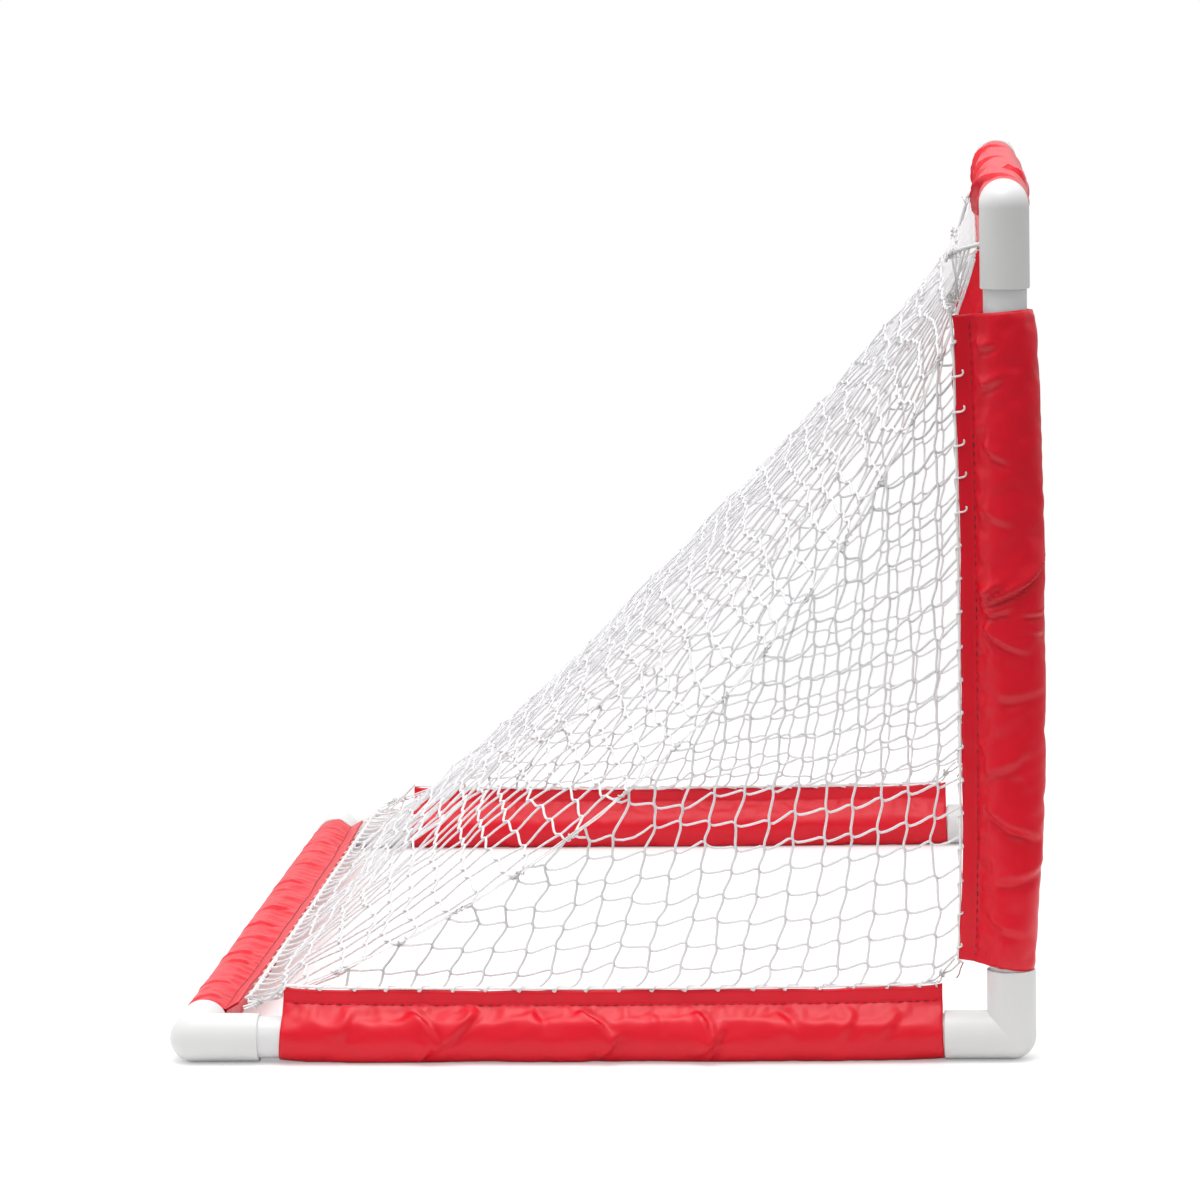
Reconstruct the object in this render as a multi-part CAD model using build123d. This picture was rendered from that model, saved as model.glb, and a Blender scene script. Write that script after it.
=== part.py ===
"""Small hockey goal: a push-fit frame of plastic tubes, red cloth sleeves and a laced net.

The mouth faces -Y, the net slopes down to the rear bar at +Y, and +Z is up. "Left" is the -X
side, as seen by a player who faces the mouth. The origin is on the floor, midway between the
two sides and midway between the front and the rear. All sizes are in millimetres.
"""

import os
from math import acos, cos, radians, sin

from build123d import *

# ---------------------------------------------------------------- driving sizes
GOAL_WIDTH = 711.0  # over the elbows
GOAL_HEIGHT = 508.0
GOAL_DEPTH = 508.0

TUBE_OD = 25.0
TUBE_WALL = 1.6
TUBE_CHAMFER = 0.4  # on both ends, so that a tube starts easily in its socket

ELBOW_WALL = 1.6  # round the sockets
SOCKET_CLEARANCE = 0.1  # radial, between a tube and its socket
TOP_SOCKET_DEPTH = 33.0  # mouth to shoulder
BASE_SOCKET_DEPTH = 26.0
STOP_MARGIN = 0.5  # the shoulders stand this far outside the crossing of the two bores
STOP_GAP = 0.5  # between a shoulder and the tube's end
STOP_LIP = 1.2  # radial height of a shoulder
MOUTH_CHAMFER = 0.5

CLOTH = 0.6  # thickness of one ply
SLEEVE_GAP = 0.3  # between the cloth and the tube
SEAM_STANDOFF = 11.0  # from the tube's surface to the stitched seam
HEM_WIDTH = 7.0  # two plies, from the seam to the hem's free edge
SLEEVE_END_GAP = 1.0  # between a socket mouth and a sleeve pushed up against it
UPRIGHT_BARE = 10.0  # tube left bare below each top elbow
BASE_REAR_BARE = 12.0  # tube left bare in front of each rear elbow
UPRIGHT_HEM_ANGLE = 0.0  # every hem angle is in degrees, from +Y towards +Z
BASE_HEM_ANGLE = 90.0
CROSSBAR_HEM_ANGLE = -60.0
REAR_BAR_HEM_ANGLE = 150.0

BORDER_ROPE = 1.8  # diameter of the rope that the net's edge is laced to
SEAM_CORD = 2.0
LACING_GAP = 0.3  # from hem to rope, rope to net, and between the panels and their cords
NET_PLY = 1.6  # thickness of the net's twine
SEAM_SAG = 76.0  # of the two side seams below their straight chord
CREST_SAG = 11.0  # of the back net's middle below the same chord

TIE_CORD = 1.2
CORD_SIDES = 6  # the curved cords are drawn as six-sided, with this many flats
TIE_GAP = 0.25  # between a tie and the fitting or tube that it goes round
TOP_TIE_INSET = 9.0  # socket mouth of a top elbow to its tie
TOP_TIE_TIP = 2.0  # radius of that tie's turn beside the crossbar's rope
ROPE_TAIL = 3.0  # that rope runs this far past the tie
FRONT_LOOP_RADIUS = 7.0
FRONT_LOOP_SHIFT = 3.5  # loop centre, inwards from where the two ropes of a side would cross

# ---------------------------------------------------------------- derived places
TUBE_R = TUBE_OD / 2
SOCKET_R = TUBE_R + SOCKET_CLEARANCE
ELBOW_R = SOCKET_R + ELBOW_WALL
STOP_REACH = TUBE_R + STOP_MARGIN  # corner centre to shoulder
TUBE_SETBACK = STOP_REACH + STOP_GAP  # corner centre to a tube's end
TOP_ELBOW_REACH = STOP_REACH + TOP_SOCKET_DEPTH  # corner centre to socket mouth
BASE_ELBOW_REACH = STOP_REACH + BASE_SOCKET_DEPTH

SIDE_X = GOAL_WIDTH / 2 - ELBOW_R
FRONT_Y = -(GOAL_DEPTH / 2 - ELBOW_R)
REAR_Y = GOAL_DEPTH / 2 - ELBOW_R
BASE_Z = ELBOW_R
TOP_Z = GOAL_HEIGHT - ELBOW_R

SLEEVE_INNER_R = TUBE_R + SLEEVE_GAP
SLEEVE_OUTER_R = SLEEVE_INNER_R + CLOTH
SEAM_REACH = TUBE_R + SEAM_STANDOFF  # tube axis to seam
HEM_REACH = SEAM_REACH + HEM_WIDTH  # tube axis to the hem's free edge
ROPE_REACH = HEM_REACH + LACING_GAP + BORDER_ROPE / 2  # tube axis to the rope's axis
NET_REACH = ROPE_REACH + BORDER_ROPE / 2 + LACING_GAP  # tube axis to the back net's edge

# From outside to inside, each side has its ropes, its panel, the seam cord and the back net.
SIDE_NET_X = SIDE_X - BORDER_ROPE / 2 - LACING_GAP - NET_PLY / 2
SEAM_CORD_X = SIDE_NET_X - NET_PLY / 2 - LACING_GAP - SEAM_CORD / 2
BACK_NET_HALF = SEAM_CORD_X - SEAM_CORD / 2 - LACING_GAP

SIDES = {"left": -1, "right": 1}


def in_side_plane(degrees):
    """A direction in the YZ plane, measured from +Y towards +Z."""
    return Vector(0, cos(radians(degrees)), sin(radians(degrees)))


def rod(start, direction, radius, length):
    """A solid round bar."""
    return extrude(Plane(origin=start, z_dir=direction) * Circle(radius), length)


def rope_between(start, end, diameter):
    """A straight rope."""
    run = Vector(end) - Vector(start)
    return rod(start, run, diameter / 2, run.length)


def cord_along(path, diameter):
    """A bent cord, as wide across its corners as its diameter."""
    start = Plane(origin=path @ 0, z_dir=path % 0)
    return sweep(start * RegularPolygon(diameter / 2, CORD_SIDES), path)


def cord_ring(radius, diameter):
    """A closed turn of cord about local Z."""
    section = Plane.XZ * Pos(X=radius) * RegularPolygon(diameter / 2, CORD_SIDES)
    return revolve(section, Axis.Z)


# ---------------------------------------------------------------- tubes and elbows
def frame_tube(corner_a, corner_b):
    """The tube that joins two corners: it ends just short of the shoulders in their elbows."""
    run = Vector(corner_b) - Vector(corner_a)
    start = Vector(corner_a) + run.normalized() * TUBE_SETBACK
    length = run.length - 2 * TUBE_SETBACK
    ring = Circle(TUBE_R) - Circle(TUBE_R - TUBE_WALL)
    tube = extrude(Plane(origin=start, z_dir=run) * ring, length)
    rims = tube.edges().filter_by(GeomType.CIRCLE)
    outer_rims = [rim for rim in rims if rim.radius > TUBE_R - TUBE_WALL / 2]
    return chamfer(outer_rims, TUBE_CHAMFER)


def elbow(corner, arms, reach):
    """A hollow right-angle fitting: a ball heel, two sockets and a shoulder in each."""
    body = Sphere(ELBOW_R)
    hollow = Sphere(TUBE_R - STOP_LIP)
    for arm in arms:
        body += rod((0, 0, 0), arm, ELBOW_R, reach)
        hollow += rod((0, 0, 0), arm, TUBE_R - STOP_LIP, reach)
        hollow += rod(Vector(arm) * STOP_REACH, arm, SOCKET_R, reach - STOP_REACH)
    mouths = [face.outer_wire().edge() for face in body.faces().filter_by(GeomType.PLANE)]
    return Pos(*corner) * (chamfer(mouths, MOUTH_CHAMFER) - hollow)


def frame_pieces():
    """The six tubes and the six elbows."""
    pieces = {
        "crossbar_tube": frame_tube((-SIDE_X, FRONT_Y, TOP_Z), (SIDE_X, FRONT_Y, TOP_Z)),
        "rear_bar_tube": frame_tube((-SIDE_X, REAR_Y, BASE_Z), (SIDE_X, REAR_Y, BASE_Z)),
    }
    for side, sign in SIDES.items():
        top = (sign * SIDE_X, FRONT_Y, TOP_Z)
        front = (sign * SIDE_X, FRONT_Y, BASE_Z)
        rear = (sign * SIDE_X, REAR_Y, BASE_Z)
        inward = (-sign, 0, 0)
        pieces[f"{side}_upright_tube"] = frame_tube(front, top)
        pieces[f"{side}_base_tube"] = frame_tube(front, rear)
        pieces[f"{side}_top_elbow"] = elbow(top, [(0, 0, -1), inward], TOP_ELBOW_REACH)
        pieces[f"{side}_front_elbow"] = elbow(front, [(0, 0, 1), (0, 1, 0)], BASE_ELBOW_REACH)
        pieces[f"{side}_rear_elbow"] = elbow(rear, [(0, -1, 0), inward], BASE_ELBOW_REACH)
    return pieces


# ---------------------------------------------------------------- sleeves
def teardrop(radius, point_reach):
    """A disc with the wedge between its two tangents from a point on local +X."""
    touch = acos(radius / point_reach)
    touch_x = radius * cos(touch)
    touch_y = radius * sin(touch)
    wedge = Polygon((touch_x, -touch_y), (point_reach, 0), (touch_x, touch_y), align=None)
    return Circle(radius) + wedge


def sleeve(start, end, hem_way):
    """A cloth sleeve round a tube, closed by a seam with a flat two-ply hem beyond it."""
    run = Vector(end) - Vector(start)
    hem_start = SEAM_REACH - 2 * CLOTH  # the hem's root is inside the seam's fold
    hem = Pos(X=(hem_start + HEM_REACH) / 2) * Rectangle(HEM_REACH - hem_start, 2 * CLOTH)
    channel = teardrop(SLEEVE_INNER_R, SEAM_REACH * SLEEVE_INNER_R / SLEEVE_OUTER_R)
    section = teardrop(SLEEVE_OUTER_R, SEAM_REACH) + hem - channel
    return extrude(Plane(origin=start, x_dir=hem_way, z_dir=run) * section, run.length)


def sleeve_runs():
    """Each sleeve's name, with the two ends of its axis and the way that its hem points."""
    crossbar_end = SIDE_X - TOP_ELBOW_REACH - SLEEVE_END_GAP
    rear_bar_end = SIDE_X - BASE_ELBOW_REACH - SLEEVE_END_GAP
    upright_low = BASE_Z + BASE_ELBOW_REACH + SLEEVE_END_GAP
    upright_high = TOP_Z - TOP_ELBOW_REACH - UPRIGHT_BARE
    base_front = FRONT_Y + BASE_ELBOW_REACH + SLEEVE_END_GAP
    base_rear = REAR_Y - BASE_ELBOW_REACH - BASE_REAR_BARE
    runs = {
        "crossbar": (
            (-crossbar_end, FRONT_Y, TOP_Z),
            (crossbar_end, FRONT_Y, TOP_Z),
            in_side_plane(CROSSBAR_HEM_ANGLE),
        ),
        "rear_bar": (
            (-rear_bar_end, REAR_Y, BASE_Z),
            (rear_bar_end, REAR_Y, BASE_Z),
            in_side_plane(REAR_BAR_HEM_ANGLE),
        ),
    }
    for side, sign in SIDES.items():
        x = sign * SIDE_X
        runs[f"{side}_upright"] = (
            (x, FRONT_Y, upright_low),
            (x, FRONT_Y, upright_high),
            in_side_plane(UPRIGHT_HEM_ANGLE),
        )
        runs[f"{side}_base"] = (
            (x, base_front, BASE_Z),
            (x, base_rear, BASE_Z),
            in_side_plane(BASE_HEM_ANGLE),
        )
    return runs


def sleeve_pieces():
    return {f"{name}_sleeve": sleeve(*run) for name, run in sleeve_runs().items()}


# ---------------------------------------------------------------- ropes along the hems
def top_tie_x():
    """How far each top tie is from the middle of the crossbar."""
    return SIDE_X - TOP_ELBOW_REACH + TOP_TIE_INSET


def rope_pieces():
    """A rope along each hem's edge; the two of a side stop just short of each other in front."""
    top_offset = in_side_plane(CROSSBAR_HEM_ANGLE) * ROPE_REACH
    rear_offset = in_side_plane(REAR_BAR_HEM_ANGLE) * ROPE_REACH
    top_half = top_tie_x() + ROPE_TAIL
    runs = sleeve_runs()
    rear_start, rear_end, _ = runs["rear_bar"]
    pieces = {
        "crossbar_rope": rope_between(
            Vector(-top_half, FRONT_Y, TOP_Z) + top_offset,
            Vector(top_half, FRONT_Y, TOP_Z) + top_offset,
            BORDER_ROPE,
        ),
        "rear_bar_rope": rope_between(
            Vector(rear_start) + rear_offset, Vector(rear_end) + rear_offset, BORDER_ROPE
        ),
    }
    rope_y = FRONT_Y + ROPE_REACH
    rope_z = BASE_Z + ROPE_REACH
    for side, sign in SIDES.items():
        x = sign * SIDE_X
        upright_high = runs[f"{side}_upright"][1][2]
        base_rear = runs[f"{side}_base"][1][1]
        pieces[f"{side}_upright_rope"] = rope_between(
            (x, rope_y, rope_z + BORDER_ROPE / 2 + LACING_GAP), (x, rope_y, upright_high), BORDER_ROPE
        )
        pieces[f"{side}_base_rope"] = rope_between(
            (x, rope_y - BORDER_ROPE / 2, rope_z), (x, base_rear, rope_z), BORDER_ROPE
        )
    return pieces


# ---------------------------------------------------------------- net
def net_chord():
    """The back net's top and bottom edges in the YZ plane, and the way it sags from them."""
    top = Vector(0, FRONT_Y, TOP_Z) + in_side_plane(CROSSBAR_HEM_ANGLE) * NET_REACH
    bottom = Vector(0, REAR_Y, BASE_Z) + in_side_plane(REAR_BAR_HEM_ANGLE) * NET_REACH
    chord = bottom - top
    return top, bottom, Vector(0, chord.Z, -chord.Y).normalized()


def seam_curve():
    """The arc that both side seams follow, on Plane.YZ."""
    top, bottom, sag_way = net_chord()
    middle = (top + bottom) / 2 + sag_way * SEAM_SAG
    return ThreePointArc(*[(point.Y, point.Z) for point in (top, middle, bottom)])


def back_net():
    """The sloping back panel: nearly straight down its middle, and pulled in at both seams.

    It is a rational Bezier patch of three by three points, with exact arcs for side edges.
    """
    top, bottom, sag_way = net_chord()
    middle = (top + bottom) / 2
    half = (bottom - top).length / 2
    radius = (half**2 + SEAM_SAG**2) / (2 * SEAM_SAG)
    arc_weight = (radius - SEAM_SAG) / radius  # the cosine of half the arc's angle
    handle_per_sag = (1 + arc_weight) / arc_weight
    seam_handle = middle + sag_way * SEAM_SAG * handle_per_sag
    crest_handle = middle + sag_way * (2 * CREST_SAG - SEAM_SAG) * handle_per_sag
    across = Vector(BACK_NET_HALF, 0, 0)
    handles = [
        [top - across, top, top + across],
        [seam_handle - across, crest_handle, seam_handle + across],
        [bottom - across, bottom, bottom + across],
    ]
    weights = [[1, 1, 1], [arc_weight] * 3, [1, 1, 1]]
    return extrude(Face.make_bezier_surface(handles, weights), NET_PLY, dir=sag_way * -1)


def side_net(sign):
    """A flat side panel: it hangs between the two ropes of its side and the seam."""
    top, bottom, _ = net_chord()
    rope_y = FRONT_Y + ROPE_REACH
    rope_z = BASE_Z + ROPE_REACH
    seam = seam_curve()
    under_seam = make_face([seam, Polyline(seam @ 1, (top.Y, bottom.Z), seam @ 0)])
    corner = (rope_y + GOAL_DEPTH / 2, rope_z + GOAL_HEIGHT / 2)
    within_ropes = Pos(*corner) * Rectangle(GOAL_DEPTH, GOAL_HEIGHT)
    return extrude(
        Plane.YZ.offset(sign * SIDE_NET_X) * (under_seam & within_ropes), NET_PLY / 2, both=True
    )


def seam_cord(sign):
    """The cord that laces a side panel to the back panel, along their shared seam."""
    return cord_along(Plane.YZ.offset(sign * SEAM_CORD_X) * seam_curve(), SEAM_CORD)


def net_pieces():
    pieces = {"back_net": back_net()}
    for side, sign in SIDES.items():
        pieces[f"{side}_side_net"] = side_net(sign)
        pieces[f"{side}_seam_cord"] = seam_cord(sign)
    return pieces


# ---------------------------------------------------------------- corner ties
def belt(big_r, small_r, distance):
    """The closed path round two circles, the small one at a distance along local +X."""
    lean = acos((big_r - small_r) / distance)
    on_big = (big_r * cos(lean), big_r * sin(lean))
    on_small = (distance + small_r * cos(lean), small_r * sin(lean))
    below_big = (on_big[0], -on_big[1])
    below_small = (on_small[0], -on_small[1])
    return [
        ThreePointArc(on_big, (-big_r, 0), below_big),
        Line(below_big, below_small),
        ThreePointArc(below_small, (distance + small_r, 0), on_small),
        Line(on_small, on_big),
    ]


def top_tie(sign):
    """A loop round an elbow's arm that comes to a narrow end at the crossbar's rope."""
    place = Plane(
        origin=(sign * top_tie_x(), FRONT_Y, TOP_Z),
        x_dir=in_side_plane(CROSSBAR_HEM_ANGLE),
        z_dir=(1, 0, 0),
    )
    arm_r = ELBOW_R + TIE_GAP + TIE_CORD / 2
    tip_centre = ROPE_REACH - BORDER_ROPE / 2 - LACING_GAP - TIE_CORD / 2 - TOP_TIE_TIP
    loop = Part()
    for stretch in belt(arm_r, TOP_TIE_TIP, tip_centre):
        loop += cord_along(place * stretch, TIE_CORD)
    return loop


def rear_tie(sign):
    """One turn of cord round the bare tube in front of a rear elbow."""
    ring = cord_ring(TUBE_R + TIE_GAP + TIE_CORD / 2, TIE_CORD)
    y = REAR_Y - BASE_ELBOW_REACH - BASE_REAR_BARE / 2
    return Plane(origin=(sign * SIDE_X, y, BASE_Z), z_dir=(0, 1, 0)) * ring


def front_tie(sign):
    """A loop of cord that lies against the front ends of a side's two ropes."""
    outward = BORDER_ROPE / 2 + LACING_GAP + TIE_CORD / 2
    centre = (
        sign * (SIDE_X + outward),
        FRONT_Y + ROPE_REACH + FRONT_LOOP_SHIFT,
        BASE_Z + ROPE_REACH + FRONT_LOOP_SHIFT,
    )
    return Plane(origin=centre, z_dir=(1, 0, 0)) * cord_ring(FRONT_LOOP_RADIUS, TIE_CORD)


def tie_pieces():
    pieces = {}
    for side, sign in SIDES.items():
        pieces[f"{side}_top_tie"] = top_tie(sign)
        pieces[f"{side}_rear_tie"] = rear_tie(sign)
        pieces[f"{side}_front_tie"] = front_tie(sign)
    return pieces


os.makedirs("parts", exist_ok=True)
for make_pieces in (frame_pieces, sleeve_pieces, rope_pieces, net_pieces, tie_pieces):
    for node, piece in make_pieces().items():
        export_step(piece, f"parts/{node}.step")
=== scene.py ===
# %% [markdown]
# # A small hockey goal
# The goal is a push-fit frame of white plastic tubes and elbows. Red nylon sleeves wrap the tubes,
# and a white knotless net is laced to the sleeves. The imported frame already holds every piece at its
# real size, so this script loads it first and only adds looks around it: finishes for the rigid
# pieces, and soft pieces made of real sheets and strings.

# %% Load the fixed frame
from math import acos, asin, ceil, cos, exp, hypot, pi, radians, sin

import bpy
import numpy as np
from mathutils import Matrix, Quaternion, Vector, noise


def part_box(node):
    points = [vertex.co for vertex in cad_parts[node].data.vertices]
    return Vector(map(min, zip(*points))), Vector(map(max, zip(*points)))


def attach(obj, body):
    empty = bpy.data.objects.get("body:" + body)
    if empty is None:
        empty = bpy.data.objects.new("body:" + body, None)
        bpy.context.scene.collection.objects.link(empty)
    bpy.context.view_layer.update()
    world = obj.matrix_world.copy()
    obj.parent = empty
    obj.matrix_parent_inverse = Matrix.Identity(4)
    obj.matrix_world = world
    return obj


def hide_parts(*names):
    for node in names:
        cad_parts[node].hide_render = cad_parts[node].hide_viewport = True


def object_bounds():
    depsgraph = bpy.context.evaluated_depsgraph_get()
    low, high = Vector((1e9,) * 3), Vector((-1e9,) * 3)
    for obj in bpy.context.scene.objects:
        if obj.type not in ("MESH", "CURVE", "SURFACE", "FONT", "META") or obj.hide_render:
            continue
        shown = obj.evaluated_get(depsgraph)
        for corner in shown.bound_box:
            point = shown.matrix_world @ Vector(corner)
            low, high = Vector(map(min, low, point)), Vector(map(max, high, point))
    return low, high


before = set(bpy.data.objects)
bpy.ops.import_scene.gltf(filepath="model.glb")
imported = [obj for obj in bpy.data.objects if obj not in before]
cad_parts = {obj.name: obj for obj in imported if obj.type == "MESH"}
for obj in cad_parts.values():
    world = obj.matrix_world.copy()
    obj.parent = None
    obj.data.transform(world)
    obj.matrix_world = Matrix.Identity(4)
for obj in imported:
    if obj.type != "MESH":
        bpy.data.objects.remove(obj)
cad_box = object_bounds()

print("frame box in metres:", [[round(c, 4) for c in corner] for corner in cad_box])

# %% [markdown]
# ## Places read from the frame
# Nothing is measured twice. The middle of each tube's box is its axis and half its width is its
# radius, so the four axes of one side give every corner of the goal. One millimetre gets a name,
# because cloth and twine are easier to think about in millimetres.

# %% Axes, radii and the lines of the ropes
MM = 0.001
SIDES = {"left": -1, "right": 1}


def middle(node):
    low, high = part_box(node)
    return (low + high) / 2


def half_size(node):
    low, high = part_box(node)
    return (high - low) / 2


SIDE_X = middle("right_base_tube").x
FRONT_Y = middle("right_upright_tube").y
REAR_Y = middle("rear_bar_tube").y
BASE_Z = middle("right_base_tube").z
TOP_Z = middle("crossbar_tube").z
TUBE_R = half_size("right_base_tube").x
ELBOW_R = half_size("right_front_elbow").x

UPRIGHT_ROPE_Y = middle("right_upright_rope").y
UPRIGHT_ROPE_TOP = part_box("right_upright_rope")[1].z
BASE_ROPE_Z = middle("right_base_rope").z
BASE_ROPE_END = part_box("right_base_rope")[1].y
TOP_ROPE = middle("crossbar_rope")
REAR_ROPE = middle("rear_bar_rope")
SEAM_X = middle("right_seam_cord").x
print("tube radius", round(TUBE_R / MM, 2), "mm; side axis at x =", round(SIDE_X / MM, 1), "mm")


# %% [markdown]
# ## Small helpers
# An operator acts on everything that is selected, and loading the frame leaves its pieces selected.
# So one helper clears the selection before it picks the object to work on.

# %% Objects, selection and modifiers
def add_object(name, data):
    obj = bpy.data.objects.new(name, data)
    bpy.context.scene.collection.objects.link(obj)
    return obj


def pick_only(obj):
    for other in bpy.context.selected_objects:
        other.select_set(False)
    obj.select_set(True)
    bpy.context.view_layer.objects.active = obj


def apply_modifiers(obj):
    pick_only(obj)
    for modifier in list(obj.modifiers):
        bpy.ops.object.modifier_apply(modifier=modifier.name)


def points_of(obj):
    flat = np.empty(len(obj.data.vertices) * 3)
    obj.data.vertices.foreach_get("co", flat)
    return flat.reshape(-1, 3)


def set_points(obj, points):
    obj.data.vertices.foreach_set("co", np.asarray(points, float).ravel())
    obj.data.update()


def triangles(obj):
    return sum(len(face.vertices) - 2 for face in obj.data.polygons)


# %% [markdown]
# ## Camera
# A long lens from well off to one side, a little above the crossbar, looks almost straight along
# the goal mouth. The long lens keeps the two uprights nearly the same size, and the slight roll
# keeps the near one leaning as a hand-held camera saw it.

# %% The camera
CAMERA_PLACE = Vector((-3.070, -0.216, 0.636))
AIM_FROM_CENTRE = Vector((0.0, 0.022, -0.029))
CAMERA_ROLL = radians(-1.2)
LENS_MM = 143.4


def box_centre(box):
    low, high = (Vector(corner) for corner in box)
    return (low + high) / 2


def place_camera():
    aim = box_centre(cad_box) + AIM_FROM_CENTRE
    data = bpy.data.cameras.new("camera")
    data.lens = LENS_MM
    data.sensor_width = 36.0
    camera = add_object("camera", data)
    turn = (aim - CAMERA_PLACE).to_track_quat("-Z", "Y") @ Quaternion((0, 0, 1), CAMERA_ROLL)
    camera.matrix_world = Matrix.Translation(CAMERA_PLACE) @ turn.to_matrix().to_4x4()
    bpy.context.scene.camera = camera


place_camera()

# %% [markdown]
# ## Light
# The goal stands in an all-white studio that is lit from above. A wide softbox hangs overhead, a
# second one stands beyond the rear bar, and the world fills the shade. What the camera sees of the
# world is plain white. What lights the goal, and what its gloss mirrors, is bright overhead and
# dimmer on the camera's side, so that white plastic keeps its shading and red nylon stays red.

# %% World and softboxes
FILL_TOP, FILL_FAR, FILL_NEAR = 1.12, 0.50, 0.08
GLOSS_FAR, GLOSS_NEAR = 0.90, 0.06


def light_world():
    world = bpy.data.worlds.new("white studio")
    bpy.context.scene.world = world
    world.use_nodes = True
    nodes, links = world.node_tree.nodes, world.node_tree.links
    nodes.clear()

    def spread(value, low, high):
        node = nodes.new("ShaderNodeMapRange")
        node.inputs["From Min"].default_value = -0.8
        node.inputs["From Max"].default_value = 0.8
        for label, source in (("Value", value), ("To Min", low), ("To Max", high)):
            if isinstance(source, float):
                node.inputs[label].default_value = source
            else:
                links.new(source, node.inputs[label])
        node.interpolation_type = "SMOOTHSTEP"
        return node

    way = nodes.new("ShaderNodeSeparateXYZ")
    links.new(nodes.new("ShaderNodeTexCoord").outputs["Generated"], way.inputs[0])
    level = spread(way.outputs["X"], FILL_NEAR, FILL_FAR)
    level = spread(way.outputs["Z"], level.outputs["Result"], FILL_TOP)
    level.inputs["From Min"].default_value = 0.0
    path = nodes.new("ShaderNodeLightPath")
    mirrored = nodes.new("ShaderNodeBackground")
    gloss = spread(way.outputs["X"], GLOSS_NEAR, GLOSS_FAR)
    gloss = spread(way.outputs["Z"], gloss.outputs["Result"], GLOSS_FAR)
    gloss.inputs["From Min"].default_value = 0.0
    links.new(gloss.outputs["Result"], mirrored.inputs["Strength"])
    fill = nodes.new("ShaderNodeBackground")
    links.new(level.outputs["Result"], fill.inputs["Strength"])
    white = nodes.new("ShaderNodeBackground")
    for background in (mirrored, fill, white):
        background.inputs["Color"].default_value = (1, 1, 1, 1)
    seen = nodes.new("ShaderNodeMath")
    seen.operation = "MAXIMUM"
    links.new(path.outputs["Is Camera Ray"], seen.inputs[0])
    links.new(path.outputs["Is Transmission Ray"], seen.inputs[1])
    lit_or_mirrored, either = nodes.new("ShaderNodeMixShader"), nodes.new("ShaderNodeMixShader")
    links.new(path.outputs["Is Glossy Ray"], lit_or_mirrored.inputs[0])
    links.new(fill.outputs[0], lit_or_mirrored.inputs[1])
    links.new(mirrored.outputs[0], lit_or_mirrored.inputs[2])
    links.new(seen.outputs[0], either.inputs[0])
    links.new(lit_or_mirrored.outputs[0], either.inputs[1])
    links.new(white.outputs[0], either.inputs[2])
    links.new(either.outputs[0], nodes.new("ShaderNodeOutputWorld").inputs["Surface"])


def add_softbox(name, place, aim, size, watts):
    data = bpy.data.lights.new(name, "AREA")
    data.shape = "SQUARE"
    data.size = size
    data.energy = watts
    lamp = add_object(name, data)
    turn = (Vector(aim) - Vector(place)).to_track_quat("-Z", "Y")
    lamp.matrix_world = Matrix.Translation(Vector(place)) @ turn.to_matrix().to_4x4()


light_world()
centre = box_centre(cad_box)
add_softbox("overhead softbox", (-0.5, 0.1, 2.6), centre, 1.45, 36.0)
add_softbox("rear softbox", (0.4, 2.8, 1.6), centre, 2.0, 8.0)

bpy.context.scene.view_settings.view_transform = "Standard"

# %% [markdown]
# ## Floor
# The floor is white paper that keeps a soft shadow. A mix of plain emission and a diffuse surface
# does it: where the lamps reach, the sum is white, and under the tubes only the diffuse share
# darkens. That share fades out around the goal, so that the paper has no horizon.

# %% The floor
FLOOR_SIZE = 60.0
SHADOW_SHARE = 0.7
SHADOW_FADE = (0.55, 1.1)  # metres from the middle of the goal
PAPER_LEVELS = (0.88, 0.30)  # how much light the paper throws back, near the goal and far off
PAPER_FADE = (0.6, 0.95)


def lay_floor():
    pick_only(bpy.context.scene.camera)
    bpy.ops.mesh.primitive_plane_add(size=FLOOR_SIZE)
    floor = bpy.context.active_object
    floor.name = "floor"
    material = bpy.data.materials.new("white floor")
    material.use_nodes = True
    nodes, links = material.node_tree.nodes, material.node_tree.links
    nodes.clear()
    paper = nodes.new("ShaderNodeBsdfDiffuse")
    lit_paper = nodes.new("ShaderNodeBsdfDiffuse")
    lit_paper.inputs["Color"].default_value = (1, 1, 1, 1)
    glow = nodes.new("ShaderNodeEmission")
    glow.inputs["Color"].default_value = (1, 1, 1, 1)
    distance = nodes.new("ShaderNodeVectorMath")
    distance.operation = "LENGTH"
    links.new(nodes.new("ShaderNodeTexCoord").outputs["Object"], distance.inputs[0])

    def fade(span, near_value, far_value):
        node = nodes.new("ShaderNodeMapRange")
        node.interpolation_type = "SMOOTHSTEP"
        links.new(distance.outputs["Value"], node.inputs["Value"])
        node.inputs["From Min"].default_value, node.inputs["From Max"].default_value = span
        node.inputs["To Min"].default_value, node.inputs["To Max"].default_value = near_value, far_value
        return node

    share = fade(SHADOW_FADE, SHADOW_SHARE, 0.0)
    links.new(fade(PAPER_FADE, *PAPER_LEVELS).outputs["Result"], paper.inputs["Color"])
    for_camera = nodes.new("ShaderNodeMixShader")
    links.new(share.outputs["Result"], for_camera.inputs[0])
    links.new(glow.outputs[0], for_camera.inputs[1])
    links.new(lit_paper.outputs[0], for_camera.inputs[2])
    path = nodes.new("ShaderNodeLightPath")
    either = nodes.new("ShaderNodeMixShader")
    links.new(path.outputs["Is Camera Ray"], either.inputs[0])
    links.new(paper.outputs[0], either.inputs[1])
    links.new(for_camera.outputs[0], either.inputs[2])
    links.new(either.outputs[0], nodes.new("ShaderNodeOutputMaterial").inputs["Surface"])
    floor.data.materials.append(material)


lay_floor()


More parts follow.
